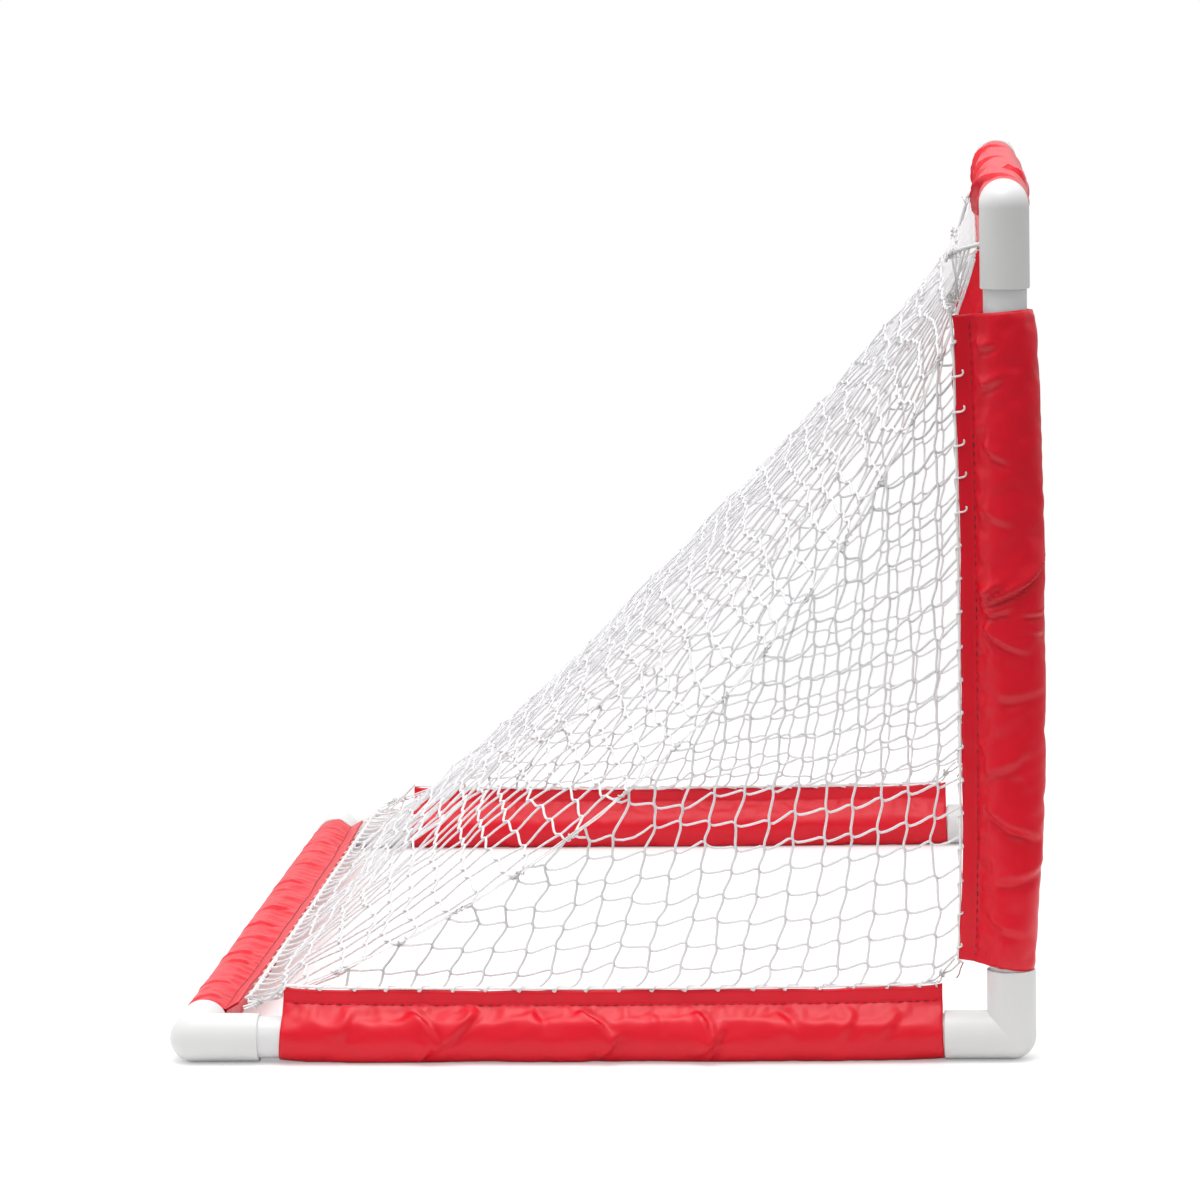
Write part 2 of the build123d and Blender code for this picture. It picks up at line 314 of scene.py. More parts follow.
# %% [markdown]
# ## Shared surface effects
# Three effects turn up in more than one finish, so each is a node group that is built once. Cloudy
# variation breaks up a flat colour. The weave gives nylon its fine over-and-under threads, and it
# follows the cloth's own flat pattern, its UV map. The twist gives cords their slanting strands.

# %% Node group helpers
def new_group(name, inputs, outputs):
    group = bpy.data.node_groups.new(name, "ShaderNodeTree")
    for label, kind, value in inputs:
        socket = group.interface.new_socket(name=label, in_out="INPUT", socket_type=kind)
        if value is not None:
            socket.default_value = value
    for label, kind in outputs:
        group.interface.new_socket(name=label, in_out="OUTPUT", socket_type=kind)
    return group, group.nodes.new("NodeGroupInput"), group.nodes.new("NodeGroupOutput")


def math_node(tree, operation, first, second=None):
    node = tree.nodes.new("ShaderNodeMath")
    node.operation = operation
    for socket, value in zip(node.inputs, (first, second)):
        if isinstance(value, (int, float)):
            socket.default_value = value
        elif value is not None:
            tree.links.new(value, socket)
    return node.outputs[0]


# %% Cloudy variation, weave and twist
def build_clouds():
    """A smooth light-to-dark mask with a fine grain on top, on Object coordinates."""
    group, given, result = new_group(
        "clouds",
        [("Size", "NodeSocketFloat", 20.0), ("Grain", "NodeSocketFloat", 300.0)],
        [("Broad", "NodeSocketFloat"), ("Fine", "NodeSocketFloat")],
    )
    place = group.nodes.new("ShaderNodeTexCoord").outputs["Object"]
    for label, size, detail in (("Broad", "Size", 2.0), ("Fine", "Grain", 3.0)):
        cloud = group.nodes.new("ShaderNodeTexNoise")
        cloud.inputs["Detail"].default_value = detail
        group.links.new(place, cloud.inputs["Vector"])
        group.links.new(given.outputs[size], cloud.inputs["Scale"])
        group.links.new(cloud.outputs["Fac"], result.inputs[label])
    return group


def build_weave():
    """Plain weave: two sets of thread waves that take turns on top."""
    group, given, result = new_group(
        "weave",
        [("Threads", "NodeSocketFloat", 1500.0)],
        [("Height", "NodeSocketFloat")],
    )
    uv = group.nodes.new("ShaderNodeUVMap").outputs[0]
    parts = group.nodes.new("ShaderNodeSeparateXYZ")
    group.links.new(uv, parts.inputs[0])
    turns = math_node(group, "MULTIPLY", given.outputs["Threads"], pi)
    across = math_node(group, "MULTIPLY", parts.outputs["X"], turns)
    along = math_node(group, "MULTIPLY", parts.outputs["Y"], turns)
    product = math_node(
        group, "MULTIPLY", math_node(group, "SINE", across), math_node(group, "SINE", along)
    )
    group.links.new(product, result.inputs["Height"])
    return group


def build_twist():
    """Slanting strands: a wave of the place along the cord plus the place round it."""
    group, given, result = new_group(
        "twist",
        [("Turns", "NodeSocketFloat", 200.0), ("Strands", "NodeSocketFloat", 3.0)],
        [("Height", "NodeSocketFloat")],
    )
    uv = group.nodes.new("ShaderNodeUVMap").outputs[0]
    parts = group.nodes.new("ShaderNodeSeparateXYZ")
    group.links.new(uv, parts.inputs[0])
    along = math_node(group, "MULTIPLY", parts.outputs["X"], given.outputs["Turns"])
    around = math_node(group, "MULTIPLY", parts.outputs["Y"], given.outputs["Strands"])
    phase = math_node(group, "MULTIPLY", math_node(group, "ADD", along, around), 2 * pi)
    group.links.new(math_node(group, "SINE", phase), result.inputs["Height"])
    return group


CLOUDS = build_clouds()
WEAVE = build_weave()
TWIST = build_twist()


# %% [markdown]
# ## Finishes
# Each material is a Principled surface whose colour, roughness and bump come from the groups. A
# number that is the same all over, such as the sheen of nylon, is typed on the shader itself.

# %% Material helpers
def srgb(red, green, blue):
    """A colour as it looks on screen, from 0 to 255, turned into the shader's linear numbers."""
    def linear(value):
        share = value / 255
        return share / 12.92 if share <= 0.04045 else ((share + 0.055) / 1.055) ** 2.4
    return (linear(red), linear(green), linear(blue), 1.0)


def new_material(name):
    material = bpy.data.materials.new(name)
    material.use_nodes = True
    return material, material.node_tree, material.node_tree.nodes["Principled BSDF"]


def add_group(tree, group, **values):
    node = tree.nodes.new("ShaderNodeGroup")
    node.node_tree = group
    for label, value in values.items():
        node.inputs[label].default_value = value
    return node


def colour_between(tree, mask, low, high):
    mix = tree.nodes.new("ShaderNodeMix")
    mix.data_type = "RGBA"
    mix.inputs["A"].default_value = low
    mix.inputs["B"].default_value = high
    tree.links.new(mask, mix.inputs["Factor"])
    return mix.outputs["Result"]


def value_between(tree, mask, low, high):
    spread = tree.nodes.new("ShaderNodeMapRange")
    spread.inputs["To Min"].default_value = low
    spread.inputs["To Max"].default_value = high
    tree.links.new(mask, spread.inputs["Value"])
    return spread.outputs["Result"]


def add_bump(tree, height, distance, strength=1.0, below=None):
    bump = tree.nodes.new("ShaderNodeBump")
    bump.inputs["Distance"].default_value = distance
    bump.inputs["Strength"].default_value = strength
    tree.links.new(height, bump.inputs["Height"])
    if below is not None:
        tree.links.new(below, bump.inputs["Normal"])
    return bump.outputs["Normal"]


# %% Plastic, nylon, twine and thread
def make_plastic(name, bright, dull, roughness):
    material, tree, shader = new_material(name)
    clouds = add_group(tree, CLOUDS, Size=28.0, Grain=900.0)
    broad, fine = clouds.outputs["Broad"], clouds.outputs["Fine"]
    tree.links.new(colour_between(tree, broad, dull, bright), shader.inputs["Base Color"])
    tree.links.new(
        value_between(tree, fine, roughness - 0.05, roughness + 0.07), shader.inputs["Roughness"]
    )
    tree.links.new(add_bump(tree, fine, 0.02 * MM, 0.6), shader.inputs["Normal"])
    return material


def make_nylon():
    material, tree, shader = new_material("red nylon")
    clouds = add_group(tree, CLOUDS, Size=45.0, Grain=420.0)
    weave = add_group(tree, WEAVE, Threads=1600.0)
    broad, fine = clouds.outputs["Broad"], clouds.outputs["Fine"]
    tree.links.new(
        colour_between(tree, broad, srgb(214, 0, 30), srgb(228, 4, 38)), shader.inputs["Base Color"]
    )
    tree.links.new(value_between(tree, fine, 0.28, 0.4), shader.inputs["Roughness"])
    soft = add_bump(tree, fine, 0.25 * MM, 0.35)
    tree.links.new(
        add_bump(tree, weave.outputs["Height"], 0.05 * MM, 0.7, soft), shader.inputs["Normal"]
    )
    shader.inputs["Specular IOR Level"].default_value = 0.4
    shader.inputs["Sheen Weight"].default_value = 0.05
    shader.inputs["Sheen Roughness"].default_value = 0.4
    shader.inputs["Sheen Tint"].default_value = srgb(255, 120, 125)
    return material


def make_cord(name, bright, dull, turns, strands, depth, glow=0.0, fuzz_weight=0.15):
    """glow is how much light passes through the fibres and comes out on their shaded side."""
    material, tree, shader = new_material(name)
    clouds = add_group(tree, CLOUDS, Size=160.0, Grain=2500.0)
    twist = add_group(tree, TWIST, Turns=turns, Strands=strands)
    tree.links.new(
        colour_between(tree, clouds.outputs["Broad"], dull, bright), shader.inputs["Base Color"]
    )
    tree.links.new(value_between(tree, clouds.outputs["Fine"], 0.6, 0.85), shader.inputs["Roughness"])
    fuzz = add_bump(tree, clouds.outputs["Fine"], 0.1 * MM, 0.5)
    tree.links.new(
        add_bump(tree, twist.outputs["Height"], depth, 1.0, fuzz), shader.inputs["Normal"]
    )
    shader.inputs["Sheen Weight"].default_value = fuzz_weight
    shader.inputs["Subsurface Weight"].default_value = glow
    shader.inputs["Subsurface Radius"].default_value = (1.0, 1.0, 1.0)
    shader.inputs["Subsurface Scale"].default_value = 1.5 * MM
    return material


TUBE_PLASTIC = make_plastic("tube plastic", srgb(226, 227, 228), srgb(219, 220, 221), 0.34)
ELBOW_PLASTIC = make_plastic("elbow plastic", srgb(226, 226, 225), srgb(218, 219, 218), 0.42)
NYLON = make_nylon()
TWINE = make_cord("net twine", srgb(231, 232, 234), srgb(220, 221, 224), 190.0, 2.0, 0.1 * MM, 0.6, 0.3)
CORD = make_cord("white cord", srgb(250, 250, 249), srgb(240, 240, 239), 120.0, 3.0, 0.1 * MM, 0.8, 0.6)
RED_THREAD = make_cord("red thread", srgb(150, 8, 26), srgb(120, 5, 20), 20.0, 2.0, 0.05 * MM)

# %% [markdown]
# ## Tubes and elbows
# These pieces keep the meshes of the frame. Only their finish changes, so their material slots are
# simply filled with the new plastics.

# %% Finish the rigid pieces
RIGID = {"_tube": TUBE_PLASTIC, "_elbow": ELBOW_PLASTIC}


def finish_rigid_pieces():
    for name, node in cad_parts.items():
        for ending, material in RIGID.items():
            if name.endswith(ending):
                node.data.materials.clear()
                node.data.materials.append(material)


finish_rigid_pieces()

# %% [markdown]
# ## Sleeves
# A sleeve is one sheet of nylon folded round its tube. Its two long edges meet in a stitched seam,
# and what is left over beyond the seam is a flat hem of two plies. The sheet is made flat in its
# own pattern (across the cloth, along the cloth), which also becomes its UV map, and is then rolled
# into place. Cloth simulation lets it settle on the tube with a little spare cloth, so that it
# wrinkles between the stitches by itself.

# %% The section of a sleeve
CLOTH_R = TUBE_R + 0.9 * MM  # from the tube's axis to the middle of the cloth
SEAM_REACH = TUBE_R + 9.2 * MM
HEM_REACH = half_size("right_upright_sleeve").y * 2 - (TUBE_R + 0.9 * MM)
PLY_GAP = 0.45 * MM  # from the hem's middle plane to the middle of a ply
CLOTH_STEP = 3.6 * MM
CLOTH_THICK = 0.5 * MM
print("seam reach", round(SEAM_REACH / MM, 1), "mm; hem reach", round(HEM_REACH / MM, 1), "mm")


def section_runs(slack=0.0, bulge=0.0, drop=0.0):
    """The five runs across the cloth, each a function from 0 to 1, and their lengths.

    slack is how far the cloth stands off the far side of the tube, bulge the same for the outward
    side, and drop how much less the hem reaches.
    """
    round_r = CLOTH_R + slack / 2
    seam, hem = SEAM_REACH - drop, HEM_REACH - drop
    touch = acos(round_r / (seam + slack / 2))
    arc = 2 * (pi - touch)

    def on_circle(angle):
        side = round_r * sin(angle)
        return round_r * cos(angle) - slack / 2, side * (1 + bulge / round_r * (side > 0))

    first, last = on_circle(touch), on_circle(-touch)
    runs = [
        lambda s: (hem + (seam - hem) * s, PLY_GAP),
        lambda s: (seam + (first[0] - seam) * s, PLY_GAP + (first[1] - PLY_GAP) * s),
        lambda s: on_circle(touch + arc * s),
        lambda s: (last[0] + (seam - last[0]) * s, last[1] + (-PLY_GAP - last[1]) * s),
        lambda s: (seam + (hem - seam) * s, -PLY_GAP),
    ]
    slope = hypot(seam - first[0], first[1] - PLY_GAP)
    return runs, [hem - seam, slope, arc * round_r, slope, hem - seam]


RUN_STEPS = [max(2, round(length / CLOTH_STEP)) for length in section_runs()[1]]
RUN_STARTS = [sum(RUN_STEPS[:k]) for k in range(len(RUN_STEPS) + 1)]


def sleeve_section(slack, bulge, drop):
    """Points across the cloth: (hem way, outward, distance along the cloth, is it stitched)."""
    runs, lengths = section_runs(slack, bulge, drop)
    section, walked = [], 0.0
    for number, (run, length, steps) in enumerate(zip(runs, lengths, RUN_STEPS)):
        for k in range(steps):
            section.append((*run(k / steps), walked + length * k / steps, number in (0, 4) or k == 0))
        walked += length
    section.append((*runs[-1](1.0), walked, True))
    return section


# %% [markdown]
# Each sleeve gets its own small differences: how loosely it hangs on the tube, how its ends are
# cut, how the hem's free edge waves, and where it was pushed into folds when it was pulled over the
# tube. Smooth noise with a fixed place in it gives the same cloth on every run.

# %% A sleeve as a sheet
def wave(place, seed, size):
    """Smooth noise from -1 to 1 that changes over about the given size."""
    return noise.noise(Vector((place / size, seed * 7.31, seed * 3.17)))


def bow(share, power=0.4):
    """0 at both ends of a sleeve and 1 in its middle, with a broad flat top."""
    share = min(max(share, 0.0), 1.0)
    return (4 * share * (1 - share)) ** power


UPRIGHT_DROP, BASE_DROP = 3.6 * MM, 3.4 * MM
UPRIGHT_SPAN = [corner.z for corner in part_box("right_upright_sleeve")]
BASE_SPAN = [corner.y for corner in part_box("right_base_sleeve")]


def upright_drop(z):
    low, high = UPRIGHT_SPAN
    return UPRIGHT_DROP * bow((z - low) / (high - low))


def base_drop(y):
    low, high = BASE_SPAN
    return BASE_DROP * bow((y - low) / (high - low))


class SleeveStyle:
    """What makes one sleeve differ from the next. Lengths are in metres."""

    def __init__(self, seed, outward, slack, bulge, drop, edge_wave=1.0 * MM, start_cut=None,
                 end_cut=None, folds=(), puckers=0.5 * MM, flares=(), pinch=0.0):
        self.seed, self.outward, self.edge_wave, self.puckers = seed, outward, edge_wave, puckers
        self.pinch = pinch  # how far the hem is drawn in at both ends, behind the elbows
        self.flares = flares  # (share along, extra reach, spread): where a lace pulls the hem out
        self.slack, self.bulge, self.drop, self.folds = slack, bulge, drop, folds
        self.start_cut = start_cut or (lambda facing, side: 0.0)
        self.end_cut = end_cut or (lambda facing, side: 0.0)


def roll_sleeve(name, start, end, hem_way, style):
    """The sheet before it settles, with its flat pattern as UV and its stitched points grouped."""
    run = (end - start).normalized()
    outward = (style.outward - run * style.outward.dot(run)).normalized()
    outward = (outward - hem_way * outward.dot(hem_way)).normalized()
    length = (end - start).length
    rows = ceil(length / CLOTH_STEP) + 1
    verts, flat, width = [], [], 0.0
    for i in range(rows):
        share = i / (rows - 1)
        loose = bow(share)
        uneven = 1 + 0.35 * wave(share * length, style.seed + 20, 0.09)
        section = sleeve_section(
            style.slack[0] + style.slack[1] * loose * uneven,
            style.bulge * loose * (1 + 0.5 * wave(share * length, style.seed + 21, 0.07)),
            style.drop * loose + style.pinch * (1 - loose**3),
        )
        width = max(width, section[-1][2])
        for out, side, across, stitched in section:
            facing = (out / HEM_REACH + 1) / 2
            first, last = style.start_cut(facing, side), length - style.end_cut(facing, side)
            s = first + (last - first) * share
            beyond = max(0.0, (out - SEAM_REACH) / (HEM_REACH - SEAM_REACH))
            ripple = wave(s, style.seed, 0.035) + 0.5 * wave(s, style.seed + 9, 0.011)
            out_now, side_now = out + style.edge_wave * beyond * ripple, side
            for place, reach, spread in style.flares:
                out_now += beyond * reach * exp(-(((share - place) / spread) ** 2))
            if stitched:
                side_now += 0.9 * MM * wave(s, style.seed + 3, 0.045)
                side_now += (0.35 + beyond) * 0.7 * MM * wave(s, style.seed + 5, 0.010)
            verts.append(start + run * s + hem_way * out_now + outward * side_now)
            flat.append((across, s))
    columns = len(section)
    faces = [
        (i * columns + j, i * columns + j + 1, (i + 1) * columns + j + 1, (i + 1) * columns + j)
        for i in range(rows - 1)
        for j in range(columns - 1)
    ]
    if run.cross(hem_way).dot(outward) > 0:
        faces = [face[::-1] for face in faces]
    mesh = bpy.data.meshes.new(name)
    mesh.from_pydata(verts, [], faces)
    sharp = mesh.attributes.new("crease_edge", "FLOAT", "EDGE")
    seam_columns = (RUN_STARTS[1], RUN_STARTS[4])
    for edge in mesh.edges:
        one, other = (k % columns for k in edge.vertices)
        if one == other and one in seam_columns:
            sharp.data[edge.index].value = 1.0
    pattern = mesh.uv_layers.new(name="UVMap")
    for loop in mesh.loops:
        pattern.data[loop.index].uv = flat[loop.vertex_index]
    sleeve = add_object(name, mesh)
    pinned = sleeve.vertex_groups.new(name="stitched")
    stitched_columns = [k for k, point in enumerate(section) if point[3]]
    pinned.add([i * columns + k for i in range(rows) for k in stitched_columns], 1.0, "REPLACE")
    seam_line = [verts[i * columns + RUN_STARTS[1]] for i in range(rows)]
    return sleeve, width, seam_line, outward


# %% [markdown]
# The tube under the cloth has to push back, so a plain rod stands in for it while the cloth moves
# and is deleted afterwards. How far a point may move is capped, because spare cloth with nothing to
# stop it would swing too far, and a last step lifts any point that ended up inside the tube.

# %% Let a sleeve settle
SETTLE_FRAMES = 14
SPARE_CLOTH = 0.02
MOST_MOVE = 2.6 * MM
LOWEST_CLOTH = 0.5 * MM


def stand_in_rod(start, end):
    pick_only(bpy.context.scene.camera)
    bpy.ops.mesh.primitive_cylinder_add(
        vertices=64, radius=TUBE_R - 3.6 * MM, depth=(end - start).length + 0.04
    )
    rod = bpy.context.active_object
    turn = (end - start).to_track_quat("Z", "Y")
    rod.matrix_world = Matrix.Translation((start + end) / 2) @ turn.to_matrix().to_4x4()
    rod.modifiers.new("push back", "COLLISION")
    rod.collision.thickness_outer = 3.6 * MM
    rod.collision.cloth_friction = 8
    return rod


def settle(sleeve, rod, spare, frames):
    before = points_of(sleeve)
    cloth = sleeve.modifiers.new("cloth", "CLOTH")
    rules = cloth.settings
    rules.quality = 6
    rules.mass = 0.02
    rules.tension_stiffness = rules.compression_stiffness = 12
    rules.shear_stiffness = 6
    rules.bending_stiffness = 0.15
    rules.tension_damping = rules.compression_damping = rules.shear_damping = 6
    rules.vertex_group_mass = "stitched"
    rules.shrink_min = -spare
    cloth.collision_settings.distance_min = 0.4 * MM
    cloth.collision_settings.collision_quality = 3
    scene = bpy.context.scene
    scene.frame_start, scene.frame_end = 1, frames
    cloth.point_cache.frame_end = frames
    for step in range(1, frames + 1):
        scene.frame_set(step)
    apply_modifiers(sleeve)
    scene.frame_set(1)
    moved = points_of(sleeve) - before
    reach = np.linalg.norm(moved, axis=1, keepdims=True)
    moved *= np.minimum(1.0, MOST_MOVE / np.maximum(reach, 1e-9))
    set_points(sleeve, before + moved)
    bpy.data.objects.remove(rod)
    print(sleeve.name, "settled, moved up to", round(float(reach.max()) / MM, 1), "mm")


def keep_outside(points, start, end, clearance):
    """Lifts points off the tube and off the floor."""
    run = np.array((end - start).normalized())
    from_axis = points - np.array(start)
    along = from_axis @ run
    radial = from_axis - along[:, None] * run
    reach = np.linalg.norm(radial, axis=1, keepdims=True)
    out = np.maximum(reach, TUBE_R + clearance)
    points = np.array(start) + along[:, None] * run + radial / np.maximum(reach, 1e-9) * out
    points[:, 2] = np.maximum(points[:, 2], LOWEST_CLOTH)
    return points


# %% [markdown]
# Sharp folds are too fine for the simulation's grid, so they are pressed in afterwards. A fold is a
# line on the flat pattern with a steep side and a gentle side. It starts strong at the seam, where
# the stitching gathers the cloth, and dies out on the far side of the tube. Small puckers of the
# same kind run along the stitching.

# %% Folds and puckers
def fold_lift(flat, start, end, height, steep, gentle):
    """How far one fold lifts each point. start and end are places on the flat pattern."""
    line = np.subtract(end, start)
    length = np.hypot(*line)
    line = line / length
    from_start = flat - np.array(start)
    along = (from_start @ line) / length
    off = from_start @ np.array((-line[1], line[0]))
    off = off + 0.07 * length * np.sin(pi * np.clip(along, 0, 1))
    ridge = np.where(off > 0, np.exp(-off / gentle), np.exp(off / steep))
    trough = 0.7 * np.exp(-(((off + 2.2 * steep) / (1.2 * steep)) ** 2))
    inside = np.clip(along * 7, 0, 1) * np.clip((1 - along) * 2.2, 0, 1)
    return height * (ridge - trough) * inside


def pucker_folds(style, width, length):
    """Short slanting folds that leave the stitching on both sides of the sleeve."""
    folds, seam = [], HEM_REACH - SEAM_REACH
    for k in range(int(length / (9 * MM))):
        s = (k + 0.5 + 0.4 * wave(k, style.seed + 30, 0.6)) * 9 * MM
        strength = 0.5 + wave(k, style.seed + 31, 0.9)
        reach = (9 + 9 * wave(k, style.seed + 32, 0.7)) * MM
        lean = 8 * MM * wave(k, style.seed + 33, 1.3)
        if strength < 0.2:
            continue
        for edge, way in ((seam, 1), (width - seam, -1)):
            folds.append(((edge - way * MM, s), (edge + way * reach, s + lean),
                          style.puckers * strength, 1.3 * MM, 2.6 * MM))
    return folds


def press_folds(sleeve, start, end, style, width):
    """Lifts the cloth away from the tube's axis along every fold."""
    length = (end - start).length
    flat = np.zeros((len(sleeve.data.vertices), 2))
    layer = sleeve.data.uv_layers[0].data
    for loop in sleeve.data.loops:
        flat[loop.vertex_index] = layer[loop.index].uv
    lift = np.zeros(len(flat))
    for (across_1, share_1), (across_2, share_2), height, steep, gentle in style.folds:
        lift += fold_lift(flat, (across_1 * width, share_1 * length),
                          (across_2 * width, share_2 * length), height, steep, gentle)
    for fold in pucker_folds(style, width, length):
        lift += fold_lift(flat, *fold)
    points = points_of(sleeve)
    run = np.array((end - start).normalized())
    radial = points - np.array(start)
    radial -= (radial @ run)[:, None] * run
    radial /= np.linalg.norm(radial, axis=1, keepdims=True)
    on_hem = np.minimum(flat[:, 0], width - flat[:, 0]) / (HEM_REACH - SEAM_REACH)
    lift *= np.clip(on_hem * 4 - 3.6, 0, 1)
    set_points(sleeve, keep_outside(points + radial * lift[:, None], start, end, 0.5 * MM))


# %% The six sleeves
HEM_WAYS = {
    "crossbar": (TOP_ROPE - Vector((0, FRONT_Y, TOP_Z))).normalized(),
    "rear_bar": (REAR_ROPE - Vector((0, REAR_Y, BASE_Z))).normalized(),
    "upright": Vector((0, 1, 0)),
    "base": Vector((0, 0, 1)),
}


def sleeve_line(part):
    """The two ends of a sleeve's tube axis, from the box of the sleeve and its tube."""
    low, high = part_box(f"{part}_sleeve")
    axis = middle(f"{part}_tube")
    way = max(range(3), key=lambda k: high[k] - low[k])
    start, end = axis.copy(), axis.copy()
    start[way], end[way] = low[way], high[way]
    return start, end


def subdivide_smoothly(obj):
    smooth = obj.modifiers.new("smooth", "SUBSURF")
    smooth.levels = smooth.render_levels = 1
    smooth.boundary_smooth = "PRESERVE_CORNERS"
    apply_modifiers(obj)


def make_sleeve(part, hem_way, style):
    start, end = sleeve_line(part)
    sleeve, width, seam_line, outward = roll_sleeve(f"{part}_nylon_sleeve", start, end, hem_way, style)
    settle(sleeve, stand_in_rod(start, end), SPARE_CLOTH, SETTLE_FRAMES)
    subdivide_smoothly(sleeve)
    press_folds(sleeve, start, end, style, width)
    shell = sleeve.modifiers.new("thickness", "SOLIDIFY")
    shell.thickness = CLOTH_THICK
    shell.offset = 0.0
    apply_modifiers(sleeve)
    pick_only(sleeve)
    bpy.ops.object.shade_smooth()
    sleeve.vertex_groups.clear()
    sleeve.data.materials.append(NYLON)
    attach(sleeve, "root")
    flat_size = (width, (end - start).length)
    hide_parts(f"{part}_sleeve")
    print(sleeve.name, "flat", [round(side / MM) for side in flat_size], "mm,",
          triangles(sleeve), "triangles")
    return seam_line, outward


# %% [markdown]
# Folds are written as (across, along) shares of the flat pattern: across 0 and 1 are the two free
# edges of the hem, 0.5 is the far side of the tube, and along runs from the sleeve's start.

# %% How each sleeve is worn
UPRIGHT_FOLDS = [
    ((0.12, 0.555), (0.52, 0.640), 3.8 * MM, 1.3 * MM, 8 * MM),
    ((0.12, 0.540), (0.30, 0.560), 2.4 * MM, 1.2 * MM, 5 * MM),
    ((0.12, 0.565), (0.27, 0.605), 2.2 * MM, 1.2 * MM, 4 * MM),
    ((0.12, 0.525), (0.38, 0.485), 2.2 * MM, 1.4 * MM, 7 * MM),
    ((0.32, 0.545), (0.48, 0.550), 1.8 * MM, 1.3 * MM, 6 * MM),
    ((0.36, 0.520), (0.47, 0.515), 1.2 * MM, 1.3 * MM, 5 * MM),
    ((0.14, 0.250), (0.46, 0.205), 2.4 * MM, 1.8 * MM, 12 * MM),
    ((0.13, 0.300), (0.36, 0.340), 2.0 * MM, 1.8 * MM, 9 * MM),
    ((0.18, 0.140), (0.48, 0.175), 2.4 * MM, 2.2 * MM, 12 * MM),
    ((0.13, 0.085), (0.40, 0.060), 1.6 * MM, 1.8 * MM, 9 * MM),
    ((0.20, 0.420), (0.46, 0.440), 1.6 * MM, 2.4 * MM, 12 * MM),
    ((0.13, 0.700), (0.34, 0.680), 1.3 * MM, 2.0 * MM, 9 * MM),
    ((0.13, 0.800), (0.30, 0.770), 1.8 * MM, 1.5 * MM, 8 * MM),
    ((0.13, 0.880), (0.27, 0.905), 2.2 * MM, 1.5 * MM, 6 * MM),
    ((0.12, 0.940), (0.24, 0.950), 2.0 * MM, 1.4 * MM, 5 * MM),
]
BASE_FOLDS = [
    ((0.12, 0.370), (0.34, 0.345), 3.0 * MM, 1.3 * MM, 6 * MM),
    ((0.22, 0.325), (0.38, 0.376), 3.2 * MM, 1.2 * MM, 5 * MM),
    ((0.30, 0.340), (0.42, 0.358), 2.0 * MM, 1.4 * MM, 7 * MM),
    ((0.12, 0.548), (0.32, 0.490), 3.4 * MM, 1.3 * MM, 9 * MM),
    ((0.25, 0.484), (0.39, 0.518), 3.0 * MM, 1.3 * MM, 7 * MM),
    ((0.12, 0.695), (0.38, 0.788), 3.0 * MM, 1.2 * MM, 8 * MM),
    ((0.12, 0.802), (0.40, 0.745), 3.0 * MM, 1.2 * MM, 7 * MM),
    ((0.30, 0.770), (0.42, 0.792), 2.0 * MM, 1.3 * MM, 6 * MM),
    ((0.12, 0.060), (0.30, 0.110), 1.2 * MM, 2.0 * MM, 9 * MM),
    ((0.12, 0.130), (0.34, 0.170), 1.4 * MM, 2.0 * MM, 10 * MM),
    ((0.12, 0.255), (0.34, 0.215), 1.3 * MM, 2.0 * MM, 10 * MM),
    ((0.12, 0.440), (0.28, 0.425), 1.1 * MM, 1.8 * MM, 8 * MM),
    ((0.12, 0.620), (0.30, 0.600), 1.2 * MM, 2.0 * MM, 10 * MM),
    ((0.12, 0.890), (0.36, 0.925), 1.3 * MM, 2.0 * MM, 9 * MM),
]
CROSSBAR_FOLDS = [
    ((0.12, 0.170), (0.50, 0.070), 4.2 * MM, 1.5 * MM, 9 * MM),
    ((0.12, 0.150), (0.30, 0.110), 2.6 * MM, 1.4 * MM, 6 * MM),
    ((0.42, 0.255), (0.60, 0.250), 3.0 * MM, 1.4 * MM, 8 * MM),
    ((0.88, 0.560), (0.50, 0.600), 3.0 * MM, 1.6 * MM, 9 * MM),
    ((0.12, 0.500), (0.46, 0.530), 2.6 * MM, 1.6 * MM, 9 * MM),
    ((0.12, 0.780), (0.48, 0.820), 3.2 * MM, 1.6 * MM, 9 * MM),
    ((0.88, 0.280), (0.56, 0.300), 2.8 * MM, 1.6 * MM, 9 * MM),
]


def scattered_folds(count, seed, height, spread):
    """Fine cross wrinkles, each from one side's stitching part of the way round."""
    folds = []
    for k in range(count):
        along = (k + 0.5 + 1.6 * wave(k, seed, 0.6)) / count
        reach = 0.36 + 0.14 * wave(k, seed + 1, 0.7)
        lean = spread * wave(k, seed + 2, 0.8)
        size = height * (1 + 0.9 * wave(k, seed + 3, 0.9))
        fold = ((0.12, along), (reach, along + lean), size, 1.3 * MM, 5 * MM)
        if k % 2:
            fold = ((0.88, along), (1 - reach, along + lean), size, 1.3 * MM, 5 * MM)
        folds.append(fold)
    return folds


def upright_foot_cut(facing, side):
    """The lower end dips towards the outside of the tube."""
    return 5.0 * MM * facing**2


def upright_top_cut(facing, side):
    return 5.0 * MM * facing


def base_end_cut(facing, side):
    return 3.0 * MM * facing


def crossbar_cut(facing, side):
    return 2.5 * MM * facing


SEAM_LINES = {}


def sew(part, kind, style):
    SEAM_LINES[part] = make_sleeve(part, HEM_WAYS[kind], style)


